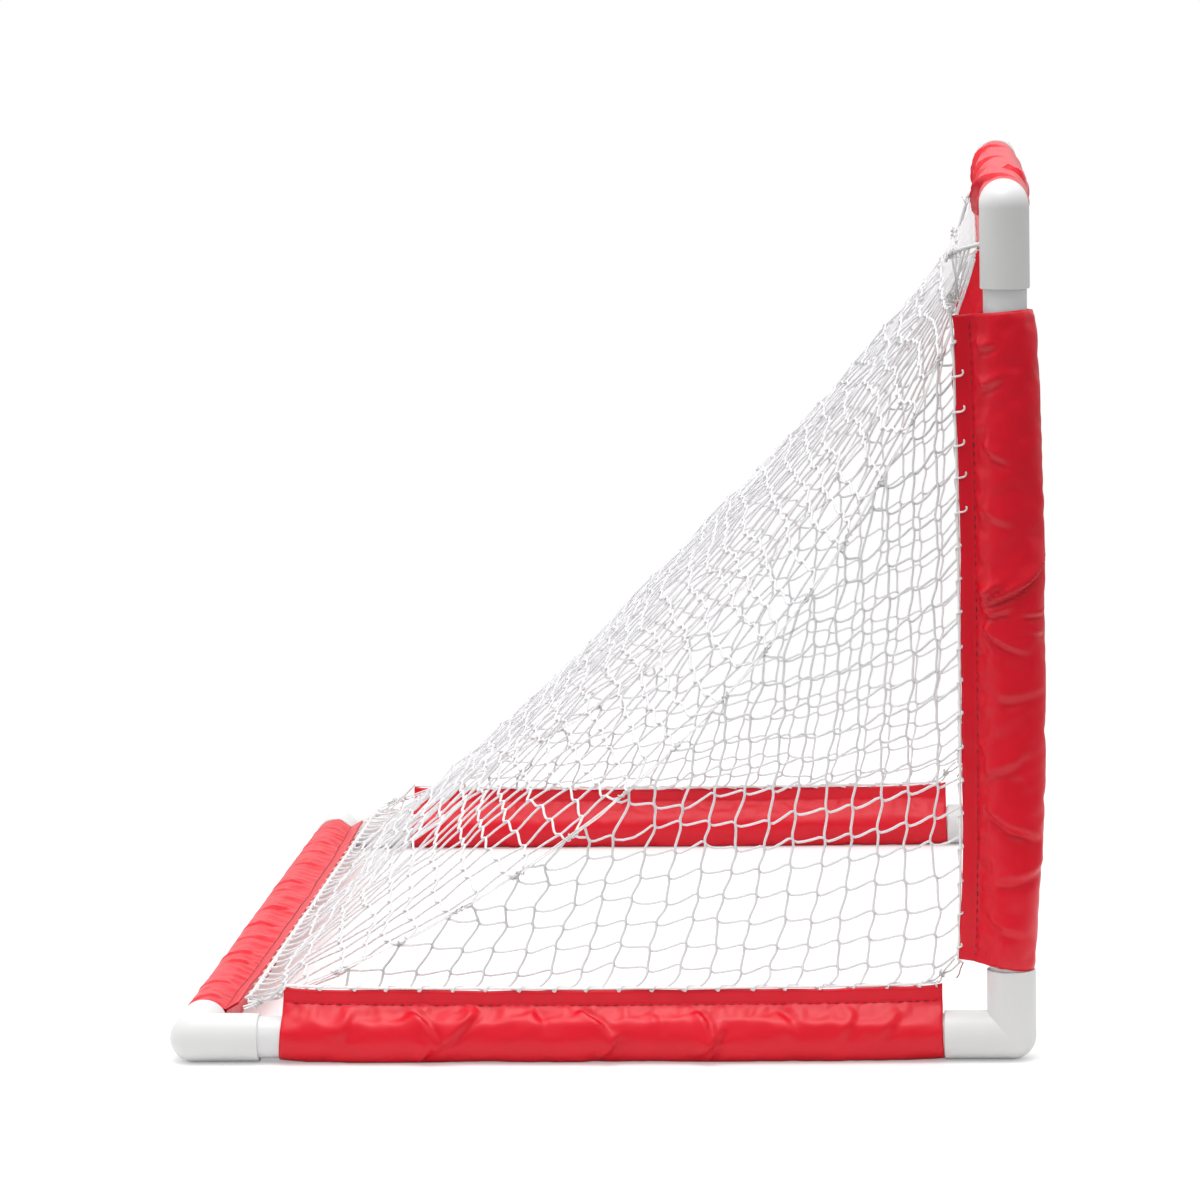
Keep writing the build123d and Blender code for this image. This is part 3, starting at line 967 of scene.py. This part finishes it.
sew("crossbar", "crossbar", SleeveStyle(
    1, Vector((0, -0.3, 1)), (1.0 * MM, 1.2 * MM), 0.8 * MM, 1.0 * MM, 1.2 * MM,
    start_cut=crossbar_cut, end_cut=crossbar_cut,
    folds=CROSSBAR_FOLDS + scattered_folds(24, 41, 1.3 * MM, 0.02), puckers=0.8 * MM))
sew("rear_bar", "rear_bar", SleeveStyle(
    2, Vector((0, 0.3, 1)), (0.6 * MM, 1.0 * MM), 1.4 * MM, 1.0 * MM, 1.4 * MM,
    folds=scattered_folds(26, 42, 1.0 * MM, 0.04), puckers=0.5 * MM, pinch=6.5 * MM))
for name, side in SIDES.items():
    outward = Vector((side, 0, 0))
    sew(f"{name}_upright", "upright", SleeveStyle(
        3 + side, outward, (1.0 * MM, 4.6 * MM), 1.0 * MM, UPRIGHT_DROP,
        start_cut=upright_foot_cut, end_cut=upright_top_cut, folds=UPRIGHT_FOLDS, puckers=0.9 * MM,
        flares=[(0.90, 3.4 * MM, 0.035), (0.03, 2.0 * MM, 0.04)]))
    sew(f"{name}_base", "base", SleeveStyle(
        6 + side, outward, (0.2 * MM, 0.4 * MM), 3.4 * MM, BASE_DROP,
        end_cut=base_end_cut, folds=BASE_FOLDS, puckers=0.8 * MM))

# %% [markdown]
# ## The net as a mesh of strings
# A knotless net is two families of twine. One family runs down the panel and the other across it,
# and where they meet they run side by side for a few millimetres, which gives each cell its small
# S-shaped corners. First a mesh of bare edges carries the layout, one point for each joint and one
# halfway along each string. Cloth simulation moves those points, because it works on loose edges
# as well as on sheets. Then every string becomes one smooth curve with a round section.

# %% The seam that both panels share
TWINE_R = 0.76 * MM
SEAM_SAG = 76 * MM
CREST_SAG = 11 * MM
SEAM_PULL = 22 * MM  # the side panels draw the middle of each seam inwards
TUFT_PITCH = 40 * MM
NET_LIFT = 1.9 * MM  # from a rope's axis to where a string is laced to it

NET_TOP = Vector((0, TOP_ROPE.y, TOP_ROPE.z)) + HEM_WAYS["crossbar"] * NET_LIFT
NET_BOTTOM = Vector((0, REAR_ROPE.y, REAR_ROPE.z)) + HEM_WAYS["rear_bar"] * NET_LIFT
NET_CHORD = NET_BOTTOM - NET_TOP
SAG_WAY = Vector((0, NET_CHORD.z, -NET_CHORD.y)).normalized()


def seam_point(share, side):
    """A point of a seam, from 0 at the crossbar to 1 at the rear bar. side is -1 or 1."""
    half = NET_CHORD.length / 2
    radius = (half**2 + SEAM_SAG**2) / (2 * SEAM_SAG)
    angle = (2 * share - 1) * asin(half / radius)
    along = half + radius * sin(angle)
    down = SEAM_SAG - radius * (1 - cos(angle))
    point = NET_TOP + NET_CHORD.normalized() * along + SAG_WAY * down
    point.x = side * (SEAM_X - SEAM_PULL * sin(pi * share))
    return point


def seam_share(test):
    """The share of the seam, by halving, where test of its point turns from false to true."""
    low, high = 0.0, 1.0
    for _ in range(40):
        share = (low + high) / 2
        if test(seam_point(share, 1)):
            high = share
        else:
            low = share
    return low


SEAM_AT_UPRIGHT = seam_share(lambda p: p.y > UPRIGHT_ROPE_Y)
SEAM_AT_BASE = seam_share(lambda p: p.z < BASE_ROPE_Z)
SEAM_LENGTH = sum(
    (seam_point((k + 1) / 50, 1) - seam_point(k / 50, 1)).length for k in range(50)
)
TUFTS = round(SEAM_LENGTH / TUFT_PITCH)
print("seam", round(SEAM_LENGTH / MM), "mm with", TUFTS, "tufts")


def gathered(share, strength=0.7):
    """Moves a place on the seam towards the nearest tuft, where the lacing bunches the strings."""
    nearest = (round(share * TUFTS - 0.5) + 0.5) / TUFTS
    return share + strength * (min(max(nearest, 0.0), 1.0) - share)


# %% [markdown]
# A panel is written down as its joints, each with a key and a place, and its strings, each a list of
# keys. From that the bare mesh is built: one point for each joint and one halfway along each string
# between two joints. A second shape key holds the net as it was cut, so that the simulation knows
# how much spare string there is.

# %% A panel as a bare mesh that hangs
HANG_FRAMES = 24
MOST_SAG = 5 * MM


def wire_net(name, joints, strings, tied, as_cut):
    number = {key: k for k, key in enumerate(joints)}
    hung, cut = list(joints.values()), [as_cut[key] for key in joints]
    edges, halfway = [], {}
    for string in strings:
        for one, other in zip(string, string[1:]):
            halfway[one, other] = len(hung)
            edges += [(number[one], len(hung)), (len(hung), number[other])]
            hung.append((joints[one] + joints[other]) / 2)
            cut.append((as_cut[one] + as_cut[other]) / 2)
    mesh = bpy.data.meshes.new(name)
    mesh.from_pydata(hung, edges, [])
    wire = add_object(name, mesh)
    wire.vertex_groups.new(name="tied").add([number[key] for key in tied], 1.0, "REPLACE")
    wire.shape_key_add(name="Basis")
    flat = wire.shape_key_add(name="as cut")
    for k, place in enumerate(cut):
        flat.data[k].co = place
    return wire, number, halfway


def hang(wire, spare, frames):
    """Lets the bare mesh hang from its tied points, and returns where all its points end up."""
    before = points_of(wire)
    cloth = wire.modifiers.new("cloth", "CLOTH")
    rules = cloth.settings
    rules.quality = 8
    rules.mass = 0.002
    rules.tension_stiffness = 40
    rules.compression_stiffness = 3
    rules.bending_stiffness = 0.02
    rules.air_damping = 3
    rules.vertex_group_mass = "tied"
    rules.rest_shape_key = wire.data.shape_keys.key_blocks["as cut"]
    rules.shrink_min = -spare
    cloth.collision_settings.use_collision = False
    scene = bpy.context.scene
    scene.frame_start, scene.frame_end = 1, frames
    cloth.point_cache.frame_end = frames
    for step in range(1, frames + 1):
        scene.frame_set(step)
    shape = wire.evaluated_get(bpy.context.evaluated_depsgraph_get()).data
    after = np.array([vertex.co for vertex in shape.vertices])
    scene.frame_set(1)
    moved = after - before
    reach = np.linalg.norm(moved, axis=1, keepdims=True)
    print(wire.name, "hung, mean move", round(float(reach.mean()) / MM, 1),
          "mm, most", round(float(reach.max()) / MM, 1), "mm")
    return before + moved * np.minimum(1.0, MOST_SAG / np.maximum(reach, 1e-9))


# %% [markdown]
# Every string is a NURBS curve with three control points to a cell: it meets the joint, leaves the
# joint, and passes the halfway point. The two strings of a joint follow the same short line, one on
# each side of it, and the string that runs across steps down along it.

# %% Strings through their joints
JOINT_HALF = 2.1 * MM
JOINT_LEAN = 0.4
SIDE_BY_SIDE = 0.36 * MM


def ways_along(strings, place):
    """The direction of its string at each joint."""
    ways = {}
    for string in strings:
        for k, key in enumerate(string):
            before, after = string[max(k - 1, 0)], string[min(k + 1, len(string) - 1)]
            ways[key] = (place[after] - place[before]).normalized()
    return ways


def string_routes(joints, uprights, crossings, where, halfway):
    """uprights run up the panel; crossings run across it and step down at every joint."""
    up, across = ways_along(uprights, joints), ways_along(crossings, joints)
    routes = []
    for strings, offset in ((uprights, -SIDE_BY_SIDE), (crossings, SIDE_BY_SIDE)):
        for string in strings:
            route = []
            for k, key in enumerate(string):
                place = joints[key]
                if key in up and key in across:
                    lean = (up[key] - across[key] * JOINT_LEAN).normalized() * JOINT_HALF
                    out = up[key].cross(across[key]).normalized() * offset
                    step = -lean if strings is uprights else lean
                    route += [place + step + out, place - step + out]
                else:
                    route.append(place)
                if k + 1 < len(string):
                    route.append(where[halfway[key, string[k + 1]]])
            routes.append(route)
    return routes


def add_cords(name, routes, radius, material, sides=6, resolution=2):
    """One mesh of round cords, each along a smooth NURBS curve through its route."""
    data = bpy.data.curves.new(name, "CURVE")
    data.dimensions = "3D"
    data.bevel_depth = radius
    data.bevel_resolution = (sides - 4) // 2
    data.resolution_u = resolution
    data.use_fill_caps = True
    for route in routes:
        spline = data.splines.new("NURBS")
        spline.points.add(len(route) - 1)
        for point, place in zip(spline.points, route):
            point.co = (*place, 1.0)
        spline.order_u = 3
        spline.use_endpoint_u = True
        spline.resolution_u = resolution
    cords = add_object(name, data)
    pick_only(cords)
    bpy.ops.object.convert(target="MESH")
    cords = bpy.context.active_object
    cords.name = name
    bpy.ops.object.shade_smooth()
    cords.data.materials.clear()
    cords.data.materials.append(material)
    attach(cords, "root")
    print(name, triangles(cords), "triangles")
    return cords


UNEVEN = 4.0 * MM  # how far joints stray from an even net
UNEVEN_SIZE = 28 * MM
ASTRAY, ASTRAY_SIZE = 1.8 * MM, 8 * MM  # how far single joints stray from their neighbours


def weave_panel(name, joints, uprights, crossings, tied, as_cut, spare):
    for key, place in joints.items():
        if key not in tied:
            joints[key] = (place + UNEVEN * noise.noise_vector(place / UNEVEN_SIZE)
                           + ASTRAY * noise.noise_vector(place / ASTRAY_SIZE))
    wire, number, halfway = wire_net(f"{name}_wire", joints, uprights + crossings, tied, as_cut)
    where = hang(wire, spare, HANG_FRAMES)
    bpy.data.objects.remove(wire)
    where = [Vector(place) for place in where]
    hung = {key: where[k] for key, k in number.items()}
    routes = string_routes(hung, uprights, crossings, where, halfway)
    return add_cords(name, routes, TWINE_R, TWINE), hung


# %% [markdown]
# ### The back panel
# It is laced to the crossbar above, to the rear bar below, and to a seam on each side. Down its
# middle it is pulled nearly straight, and towards the seams it sags with them.

# %% The back panel
BACK_COLUMNS = 42
BACK_ROWS = 34
BACK_SPARE = 0.012
EDGE_PULL = 3.4  # how strongly the sag keeps to the two sides
ROW_WANDER = 0.6  # in rows: the crossing strings don't run level
TOP_HALF = half_size("crossbar_rope").x
CORNER_DROP = Vector((0, 10 * MM, -5 * MM))


def back_place(across, down):
    """A place on the back panel: across is -1 to 1, down is 0 at the crossbar to 1."""
    side = 1 if across > 0 else -1
    middle_line = NET_TOP + NET_CHORD * down + SAG_WAY * (CREST_SAG * 4 * down * (1 - down))
    seam = seam_point(down, side)
    share = abs(across)
    place = middle_line.lerp(seam, share**EDGE_PULL)
    place.x = side * share * abs(seam.x)
    past_rope = max(0.0, abs(place.x) - TOP_HALF) / (SEAM_X - TOP_HALF)
    return place + CORNER_DROP * past_rope * max(0.0, 1 - down * 9)


def make_back_net():
    joints, tied = {}, []
    for i in range(BACK_COLUMNS + 1):
        for j in range(BACK_ROWS + 1):
            across, down = 2 * i / BACK_COLUMNS - 1, j / BACK_ROWS
            on_seam = i in (0, BACK_COLUMNS)
            if on_seam and j in (0, BACK_ROWS):
                continue
            if 0 < j < BACK_ROWS:
                down += ROW_WANDER / BACK_ROWS * noise.noise(Vector((across * 5.0, j * 0.45, 5.0)))
            joints[i, j] = back_place(across, gathered(down) if on_seam else down)
            if on_seam or j in (0, BACK_ROWS):
                tied.append((i, j))
    uprights = [[(i, j) for j in range(BACK_ROWS, -1, -1)] for i in range(1, BACK_COLUMNS)]
    crossings = [[(i, j) for i in range(BACK_COLUMNS + 1)] for j in range(1, BACK_ROWS)]
    net, hung = weave_panel("back_twine_net", joints, uprights, crossings, tied, joints, BACK_SPARE)
    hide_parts("back_net")
    return hung


BACK_JOINTS = make_back_net()

# %% [markdown]
# ### The side panels
# A side panel was cut as a plain triangle with square cells. Its long edge is drawn down and in to
# the sagging seam, and the shift fades out towards the two ropes. That is what turns the square
# cells near the seam into long narrow ones, and what makes the rows climb towards the upright.

# %% One side panel
SIDE_COLUMNS = 20
SIDE_ROWS = 22
SHIFT_FADE = 1.35
KEPT_SHIFT = 0.45  # share of the shift that the cut already allows for
SIDE_SPARE = 0.01
END_MARGIN = 0.35
GATHER_LIFT = 9 * MM  # the lace bunches the net upwards along the upper part of the upright
GATHER_FROM, GATHER_OVER = 170 * MM, 120 * MM


def side_places(side):
    """Two functions of a joint's column and row: where it hangs, and where it was cut."""
    front_low = Vector((side * SIDE_X, UPRIGHT_ROPE_Y, BASE_ROPE_Z))
    top, rear = seam_point(SEAM_AT_UPRIGHT, side), seam_point(SEAM_AT_BASE, side)
    upward, rearward = Vector((0, 0, top.z - front_low.z)), Vector((0, rear.y - front_low.y, 0))

    def place(column, row, kept=1.0):
        right, high = column / SIDE_COLUMNS, row / SIDE_ROWS
        flat = front_low + rearward * right + upward * high
        flat.y -= upright_drop(flat.z) * max(0.0, 1 - column / 3)
        gathered_up = min(max((flat.z - GATHER_FROM) / GATHER_OVER, 0.0), 1.0)
        flat.z += GATHER_LIFT * gathered_up * max(0.0, 1 - column / 1.5) * (row < SIDE_ROWS - 1)
        flat.z -= base_drop(flat.y) * max(0.0, 1 - row / 3)
        reach = right + high
        if row == 0 or column == 0:
            return flat
        climb = high / reach
        seam = seam_point(gathered(SEAM_AT_BASE + (SEAM_AT_UPRIGHT - SEAM_AT_BASE) * climb,
                                   0.5 * max(0.0, reach * 4 - 3)), side)
        straight = front_low + rearward * (1 - climb) + upward * climb
        return flat + (seam - straight) * kept * reach**SHIFT_FADE

    return place, lambda column, row: place(column, row, 1 - KEPT_SHIFT)


def make_side_net(name, side):
    place, cut_place = side_places(side)
    joints, as_cut, tied = {}, {}, []

    def add_joint(key, column, row, is_tied):
        joints[key] = place(column, row)
        as_cut[key] = cut_place(column, row)
        if is_tied:
            tied.append(key)

    def room(column, row):
        """Cells left before the long edge, along a row or a column."""
        return (1 - column / SIDE_COLUMNS - row / SIDE_ROWS) * SIDE_COLUMNS

    uprights = {a: [] for a in range(1, SIDE_COLUMNS)}
    crossings = {b: [] for b in range(1, SIDE_ROWS)}
    for a in range(SIDE_COLUMNS):
        for b in range(SIDE_ROWS):
            if (a, b) != (0, 0) and room(a, b) > END_MARGIN:
                add_joint((a, b), a, b, a == 0 or b == 0)
                if a:
                    uprights[a].append((a, b))
                if b:
                    crossings[b].insert(0, (a, b))
    for a in uprights:
        add_joint(("column", a), a, SIDE_ROWS * (1 - a / SIDE_COLUMNS), True)
        uprights[a].append(("column", a))
    for b in crossings:
        add_joint(("row", b), SIDE_COLUMNS * (1 - b / SIDE_ROWS), b, True)
        crossings[b].insert(0, ("row", b))
    net, hung = weave_panel(
        f"{name}_side_twine_net", joints, list(uprights.values()), list(crossings.values()),
        tied, as_cut, SIDE_SPARE,
    )
    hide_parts(f"{name}_side_net")
    return hung


SIDE_JOINTS = {name: make_side_net(name, side) for name, side in SIDES.items()}

# %% [markdown]
# ### The seams
# A thin cord laces each side panel to the back panel. Where it bunches the two edges it is wound
# round them a few times in untidy loops, and between two bunches it only runs along the seam. So the
# seam shows as a row of small tufts with wide open cells beside them.

# %% Lacing along a seam
TUFT_LENGTH = 8 * MM
TUFT_LOOPS = 2
TUFT_R = 1.5 * MM
SEAM_CORD_R = 0.5 * MM


def seam_frame(share, side):
    """A point of the seam, the way along it and two directions square to it."""
    here, ahead = seam_point(share, side), seam_point(min(share + 0.01, 1.0), side)
    behind = seam_point(max(share - 0.01, 0.0), side)
    along = (ahead - behind).normalized()
    out = along.cross(Vector((side, 0, 0))).normalized()
    return here, along, out, along.cross(out)


def untidy_loops(place, along, out, across, loops, length, radius, seed):
    """Points of a cord wound round a place in loops of uneven size and lean."""
    route, per_loop = [], 6
    for k in range(loops * per_loop + 1):
        turn = k / per_loop
        angle = 2 * pi * turn
        loop = int(turn)
        size = radius * (1 + 0.55 * wave(loop, seed, 0.63))
        lean = length * 0.4 * wave(loop, seed + 1, 0.71)
        slide = length * (turn / loops - 0.5) + lean * sin(angle)
        route.append(place + along * slide + out * size * cos(angle) + across * size * sin(angle))
    return route


def seam_routes(side):
    laced, running = [], []
    for tuft in range(1, TUFTS):
        share = (tuft + 0.5 + 0.12 * wave(tuft, side + 3, 0.6)) / TUFTS
        here, along, out, across = seam_frame(share, side)
        size = 1 + 0.3 * wave(tuft, side + 6, 0.8)
        slant = (along + out * 0.5 * wave(tuft, side + 7, 0.9)).normalized()
        laced.append(untidy_loops(here, slant, out, across, TUFT_LOOPS, TUFT_LENGTH * size,
                                  TUFT_R * size, tuft * 2 + side))
    for strand in (-1, 1):
        route = []
        for k in range(TUFTS * 4 + 1):
            here, along, out, across = seam_frame(k / (TUFTS * 4), side)
            stray = 1.1 * MM * wave(k, strand + side * 2, 1.7) + strand * 0.5 * MM
            route.append(here + out * stray + across * strand * 0.5 * MM)
        running.append(route)
    return laced + running


for name, side in SIDES.items():
    lacing = add_cords(f"{name}_seam_lacing", seam_routes(side), SEAM_CORD_R, CORD)
    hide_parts(f"{name}_seam_cord")

# %% [markdown]
# ## Ropes and lacing along the hems
# Each edge of the net is tied to a thin rope, and one long lace holds the rope to the hem: it comes
# round the rope, goes through the cloth and returns behind. Near the top of each upright the lace is
# slack, so small curls of it stand out over the hem. Elsewhere it is drawn tight to the edge.

# %% Ropes and laces
ROPE_R = half_size("right_base_rope").x
LACE_R = 0.6 * MM
HOOK_PITCH = 19.5 * MM
SLACK_BITE, TIGHT_BITE = 3.8 * MM, 0.3 * MM  # from the hem's edge to the hole in it


def rope_route(start, end, hem_way, drop, seed):
    """A rope that follows its hem: soft waves, and both ends tucked against the hem's corners."""
    steps = max(6, round((end - start).length / (14 * MM)))
    run = (end - start).normalized()
    length = (end - start).length
    side = run.cross(hem_way)
    route = [start - hem_way * 3.5 * MM + run * MM]
    for k in range(steps + 1):
        share = k / steps
        loose = sin(pi * share)
        route.append(
            start + run * length * share - hem_way * drop * bow(share)
            + hem_way * 0.6 * MM * wave(share, seed, 0.09) * loose
            + side * 0.6 * MM * wave(share, seed + 4, 0.07) * loose
        )
    return route + [end - hem_way * 3.5 * MM - run * MM]


def lace_route(start, end, hem_way, outward, drop, seed, rope_reach, slack_part):
    """From hole to hole. hem_way points from the tube to the rope, outward away from the goal."""
    run = (end - start).normalized()
    length = (end - start).length
    hooks = int((length - 6 * MM) / HOOK_PITCH)
    edge = rope_reach - HEM_REACH  # from the rope's axis back to the hem's free edge
    route = []
    for hook in range(hooks):
        share = (hook + 0.5) * HOOK_PITCH / length
        is_slack = slack_part[0] < share < slack_part[1]
        bite = edge + (SLACK_BITE if is_slack else TIGHT_BITE) * (1 + 0.2 * wave(hook, seed + 1, 0.7))
        stand = 1.7 * MM if is_slack else 0.9 * MM
        shift = 0.08 * wave(hook, seed, 0.8)
        way = -1 if is_slack else 1  # slack curls lean towards the far end of the hem
        path = [
            (0.30, 1.3 * MM, -0.9 * MM), (0.33, 1.2 * MM, 0.9 * MM), (0.35, -edge * 0.7, stand),
            (0.37, -bite * 0.8, stand), (0.41 - 0.03 * way, -bite - 0.4 * MM, stand * 0.8),
            (0.48 - 0.06 * way, -bite, 0.8 * MM), (0.50, -bite * 0.9, -0.9 * MM),
            (0.56, -edge * 0.5, -1.3 * MM),
        ]
        for along_share, out, side in path:
            along = 3 * MM + (hook + along_share + shift) * HOOK_PITCH
            dropped = drop * bow(along / length)
            route.append(start + run * along + hem_way * (out - dropped) + outward * side)
    return route


SLACK_PARTS = {"upright": (0.66, 0.93)}


def rope_and_lace(part, kind, way, outward, drop, seed):
    """way is the axis that the rope runs along: 0, 1 or 2."""
    hem_way = HEM_WAYS[kind]
    low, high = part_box(f"{part}_rope")
    sleeve_low, sleeve_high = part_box(f"{part}_sleeve")
    start, end = (low + high) / 2, (low + high) / 2
    start[way] = max(low[way], sleeve_low[way] + 2 * MM)
    end[way] = min(high[way], sleeve_high[way] - 2 * MM)
    reach = (start - middle(f"{part}_tube"))
    reach[way] = 0
    rope = add_cords(
        f"{part}_border_rope", [rope_route(start, end, hem_way, drop, seed)], ROPE_R, CORD
    )
    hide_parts(f"{part}_rope")
    route = lace_route(start, end, hem_way, outward, drop, seed, reach.length,
                       SLACK_PARTS.get(kind, (0, 0)))
    add_cords(f"{part}_hem_lace", [route], LACE_R, CORD)


rope_and_lace("crossbar", "crossbar", 0, Vector((0, 0.9, 0.5)), 0.0, 11)
rope_and_lace("rear_bar", "rear_bar", 0, Vector((0, 0.5, 0.9)), 0.0, 12)
for name, side in SIDES.items():
    outward = Vector((side, 0, 0))
    rope_and_lace(f"{name}_upright", "upright", 2, outward, UPRIGHT_DROP, 13)
    rope_and_lace(f"{name}_base", "base", 1, outward, BASE_DROP, 14)

# %% [markdown]
# ## Corners
# At each top corner a thicker lace pulls the net's corner to the end of the crossbar's hem. Long
# loops hang from it to a small bundle at the top of the upright's hem. The rear and front corners
# have thinner, slacker loops. All of them are held at both ends, so each is drawn from a few given
# places near the corner.

# %% Lacing at the corners
LOOP_R = 0.55 * MM
TOP_LACE_R = 1.25 * MM


def hanging_loop(start, end, sag, sideways, seed):
    """A slack cord between two places."""
    route = []
    for k in range(6):
        share = k / 5
        loose = sin(pi * share)
        place = Vector(start).lerp(Vector(end), share)
        place.z -= sag * loose
        place.x += sideways * loose * (1 + 0.3 * wave(k, seed, 1.1))
        place.y += 1.2 * MM * wave(k, seed + 1, 1.3) * loose
        route.append(place)
    return route


def lace_top_corner(name, side):
    hem_top = Vector((side * SIDE_X, UPRIGHT_ROPE_Y - 1 * MM, UPRIGHT_SPAN[1] + 1 * MM))
    net_corner = Vector((side * (SEAM_X + 6 * MM), UPRIGHT_ROPE_Y - 1 * MM, TOP_Z - 26 * MM))
    if side > 0:
        net_corner -= Vector((0, 9 * MM, 2 * MM))  # this corner is laced up shorter
    crossbar_end = abs(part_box("crossbar_sleeve")[0].x)
    hem_corner = Vector((0, FRONT_Y, TOP_Z)) + HEM_WAYS["crossbar"] * SEAM_REACH
    hem_corner.x = side * (crossbar_end - 3 * MM)
    lace = [
        net_corner + Vector((side * -4 * MM, 0, -2 * MM)), net_corner,
        net_corner + Vector((side * 4 * MM, -6 * MM, 3.0 * MM)),
        net_corner + Vector((0, -13 * MM, 4.5 * MM)),
        net_corner + Vector((side * -10 * MM, -18 * MM, 5 * MM)), hem_corner,
    ]
    thick = add_cords(f"{name}_top_corner_lace", [lace], TOP_LACE_R, CORD, resolution=4)
    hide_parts(f"{name}_top_tie")
    loops = []
    for k in range(5 if side < 0 else 2):
        from_lace = lace[1].lerp(lace[3], (k + 0.3) / 5) + Vector((side * 1.5 * MM, 0, 0))
        to_bundle = hem_top + Vector((side * (k % 3 - 1) * MM, (k * 2.2 - 5) * MM, 3 * MM))
        loops.append(hanging_loop(from_lace, to_bundle, 2 * MM, side * (2 + 3 * (k % 3)) * MM, k + side))
    crossbar_hem = Vector((0, FRONT_Y, TOP_Z)) + HEM_WAYS["crossbar"] * HEM_REACH
    for k in range(5 if side < 0 else 2):
        high = crossbar_hem + Vector((side * (crossbar_end - (4 + 9 * k) * MM), 0, 0))
        loops.append(hanging_loop(high, net_corner + Vector((side * -2 * MM * k, 2 * MM, 0)),
                                  3 * MM, side * 3 * MM, k + 9 + side))
    up, across = Vector((0, 0, 1)), Vector((0, 1, 0))
    for layer, size in enumerate((2.6 * MM, 3.6 * MM) if side < 0 else (1.4 * MM,)):
        bunch = hem_top + Vector((0, -layer * MM, 5 * layer * MM))
        loops.append(untidy_loops(bunch, up, Vector((side, 0, 0)), across, 4, 11 * MM, size,
                                  3 + layer + side))
    if side < 0:
        loops.append(untidy_loops(lace[1], Vector((0, 0.8, -0.6)), Vector((side, 0, 0)), up, 4,
                                  7 * MM, 2.2 * MM, 8 + side))
    add_cords(f"{name}_top_corner_loops", loops, LOOP_R, CORD)


def lace_rear_corner(name, side):
    hem = Vector((0, REAR_Y, BASE_Z)) + HEM_WAYS["rear_bar"] * (HEM_REACH - 1 * MM)
    hem.x = side * (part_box("rear_bar_sleeve")[1].x - 3 * MM)
    net_corner = seam_point(0.985, side)
    base_hem = Vector((side * SIDE_X, BASE_SPAN[1] - 3 * MM, BASE_ROPE_Z))
    loops = [
        hanging_loop(net_corner, hem, 3 * MM, side * 2 * MM, 1),
        hanging_loop(net_corner, base_hem, 2 * MM, side * 3 * MM, 2),
        hanging_loop(hem, base_hem, 5 * MM, side * 2 * MM, 3),
        hanging_loop(hem, base_hem, 2 * MM, side * -2 * MM, 4),
        untidy_loops(net_corner, Vector((0, 0.8, -0.6)), Vector((side, 0, 0)), Vector((0, 0.6, 0.8)),
                     4, 7 * MM, 2.0 * MM, 5 + side),
    ]
    lacing = add_cords(f"{name}_rear_corner_lacing", loops, LOOP_R, CORD)
    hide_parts(f"{name}_rear_tie")


def lace_front_corner(name, side):
    """Two thin slack loops and a knot, with the end of a red sewing thread."""
    hem_foot = Vector((side * SIDE_X, UPRIGHT_ROPE_Y - 2 * MM, UPRIGHT_SPAN[0] + 3 * MM))
    base_hem = Vector((side * SIDE_X, BASE_SPAN[0] + 3 * MM, BASE_ROPE_Z))
    knot = hem_foot.lerp(base_hem, 0.55) + Vector((side * 2 * MM, 3 * MM, 0))
    loops = [
        hanging_loop(hem_foot, knot, 1 * MM, side * 2 * MM, 1),
        hanging_loop(hem_foot + Vector((0, 3 * MM, 2 * MM)), knot, -1 * MM, side * 3 * MM, 2),
        hanging_loop(knot, base_hem, 2 * MM, side * 3 * MM, 3),
        hanging_loop(knot, base_hem + Vector((0, 5 * MM, 0)), 1 * MM, 0.0, 4),
        untidy_loops(knot, Vector((0, 0.7, 0.7)), Vector((side, 0, 0)), Vector((0, 0.7, -0.7)),
                     3, 4 * MM, 1.6 * MM, 6 + side),
    ]
    lacing = add_cords(f"{name}_front_corner_lacing", loops, LOOP_R, CORD)
    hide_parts(f"{name}_front_tie")
    tail = hanging_loop(hem_foot + Vector((side * MM, -2 * MM, 0)),
                        hem_foot + Vector((side * 2 * MM, 2 * MM, -9 * MM)), 0.0, side * 2 * MM, 7)
    add_cords(f"{name}_front_thread_end", [tail], 0.35 * MM, RED_THREAD)


for name, side in SIDES.items():
    lace_top_corner(name, side)
    lace_rear_corner(name, side)
    lace_front_corner(name, side)

# %% [markdown]
# ## Stitches
# A row of short stitches closes each sleeve where the hem begins. Each stitch is a short bit of
# thread that dips into the cloth at both ends.

# %% Stitching on the hems
STITCH_PITCH, STITCH_LENGTH = 5.2 * MM, 3.3 * MM
THREAD_R = 0.36 * MM


def point_on(line, distance):
    """A point at a distance along a line of points, and the way the line runs there."""
    for one, other in zip(line, line[1:]):
        step = (other - one).length
        if distance <= step:
            return one.lerp(other, distance / step), (other - one).normalized()
        distance -= step
    return line[-1], (line[-1] - line[-2]).normalized()


def stitch(part):
    line, outward = SEAM_LINES[part]
    length = sum((b - a).length for a, b in zip(line, line[1:]))
    routes, place = [], 3 * MM
    while place + STITCH_LENGTH < length - 2 * MM:
        here, run = point_on(line, place)
        surface = here + outward * (CLOTH_THICK / 2 + 0.1 * MM)
        routes.append([
            surface - outward * 0.3 * MM, surface + run * STITCH_LENGTH * 0.3 + outward * 0.3 * MM,
            surface + run * STITCH_LENGTH * 0.7 + outward * 0.3 * MM,
            surface + run * STITCH_LENGTH - outward * 0.3 * MM,
        ])
        place += STITCH_PITCH * (1 + 0.12 * wave(place, 77, 0.02))
    thread = add_cords(f"{part}_hem_stitches", routes, THREAD_R, RED_THREAD, sides=4, resolution=1)


for part in SEAM_LINES:
    stitch(part)
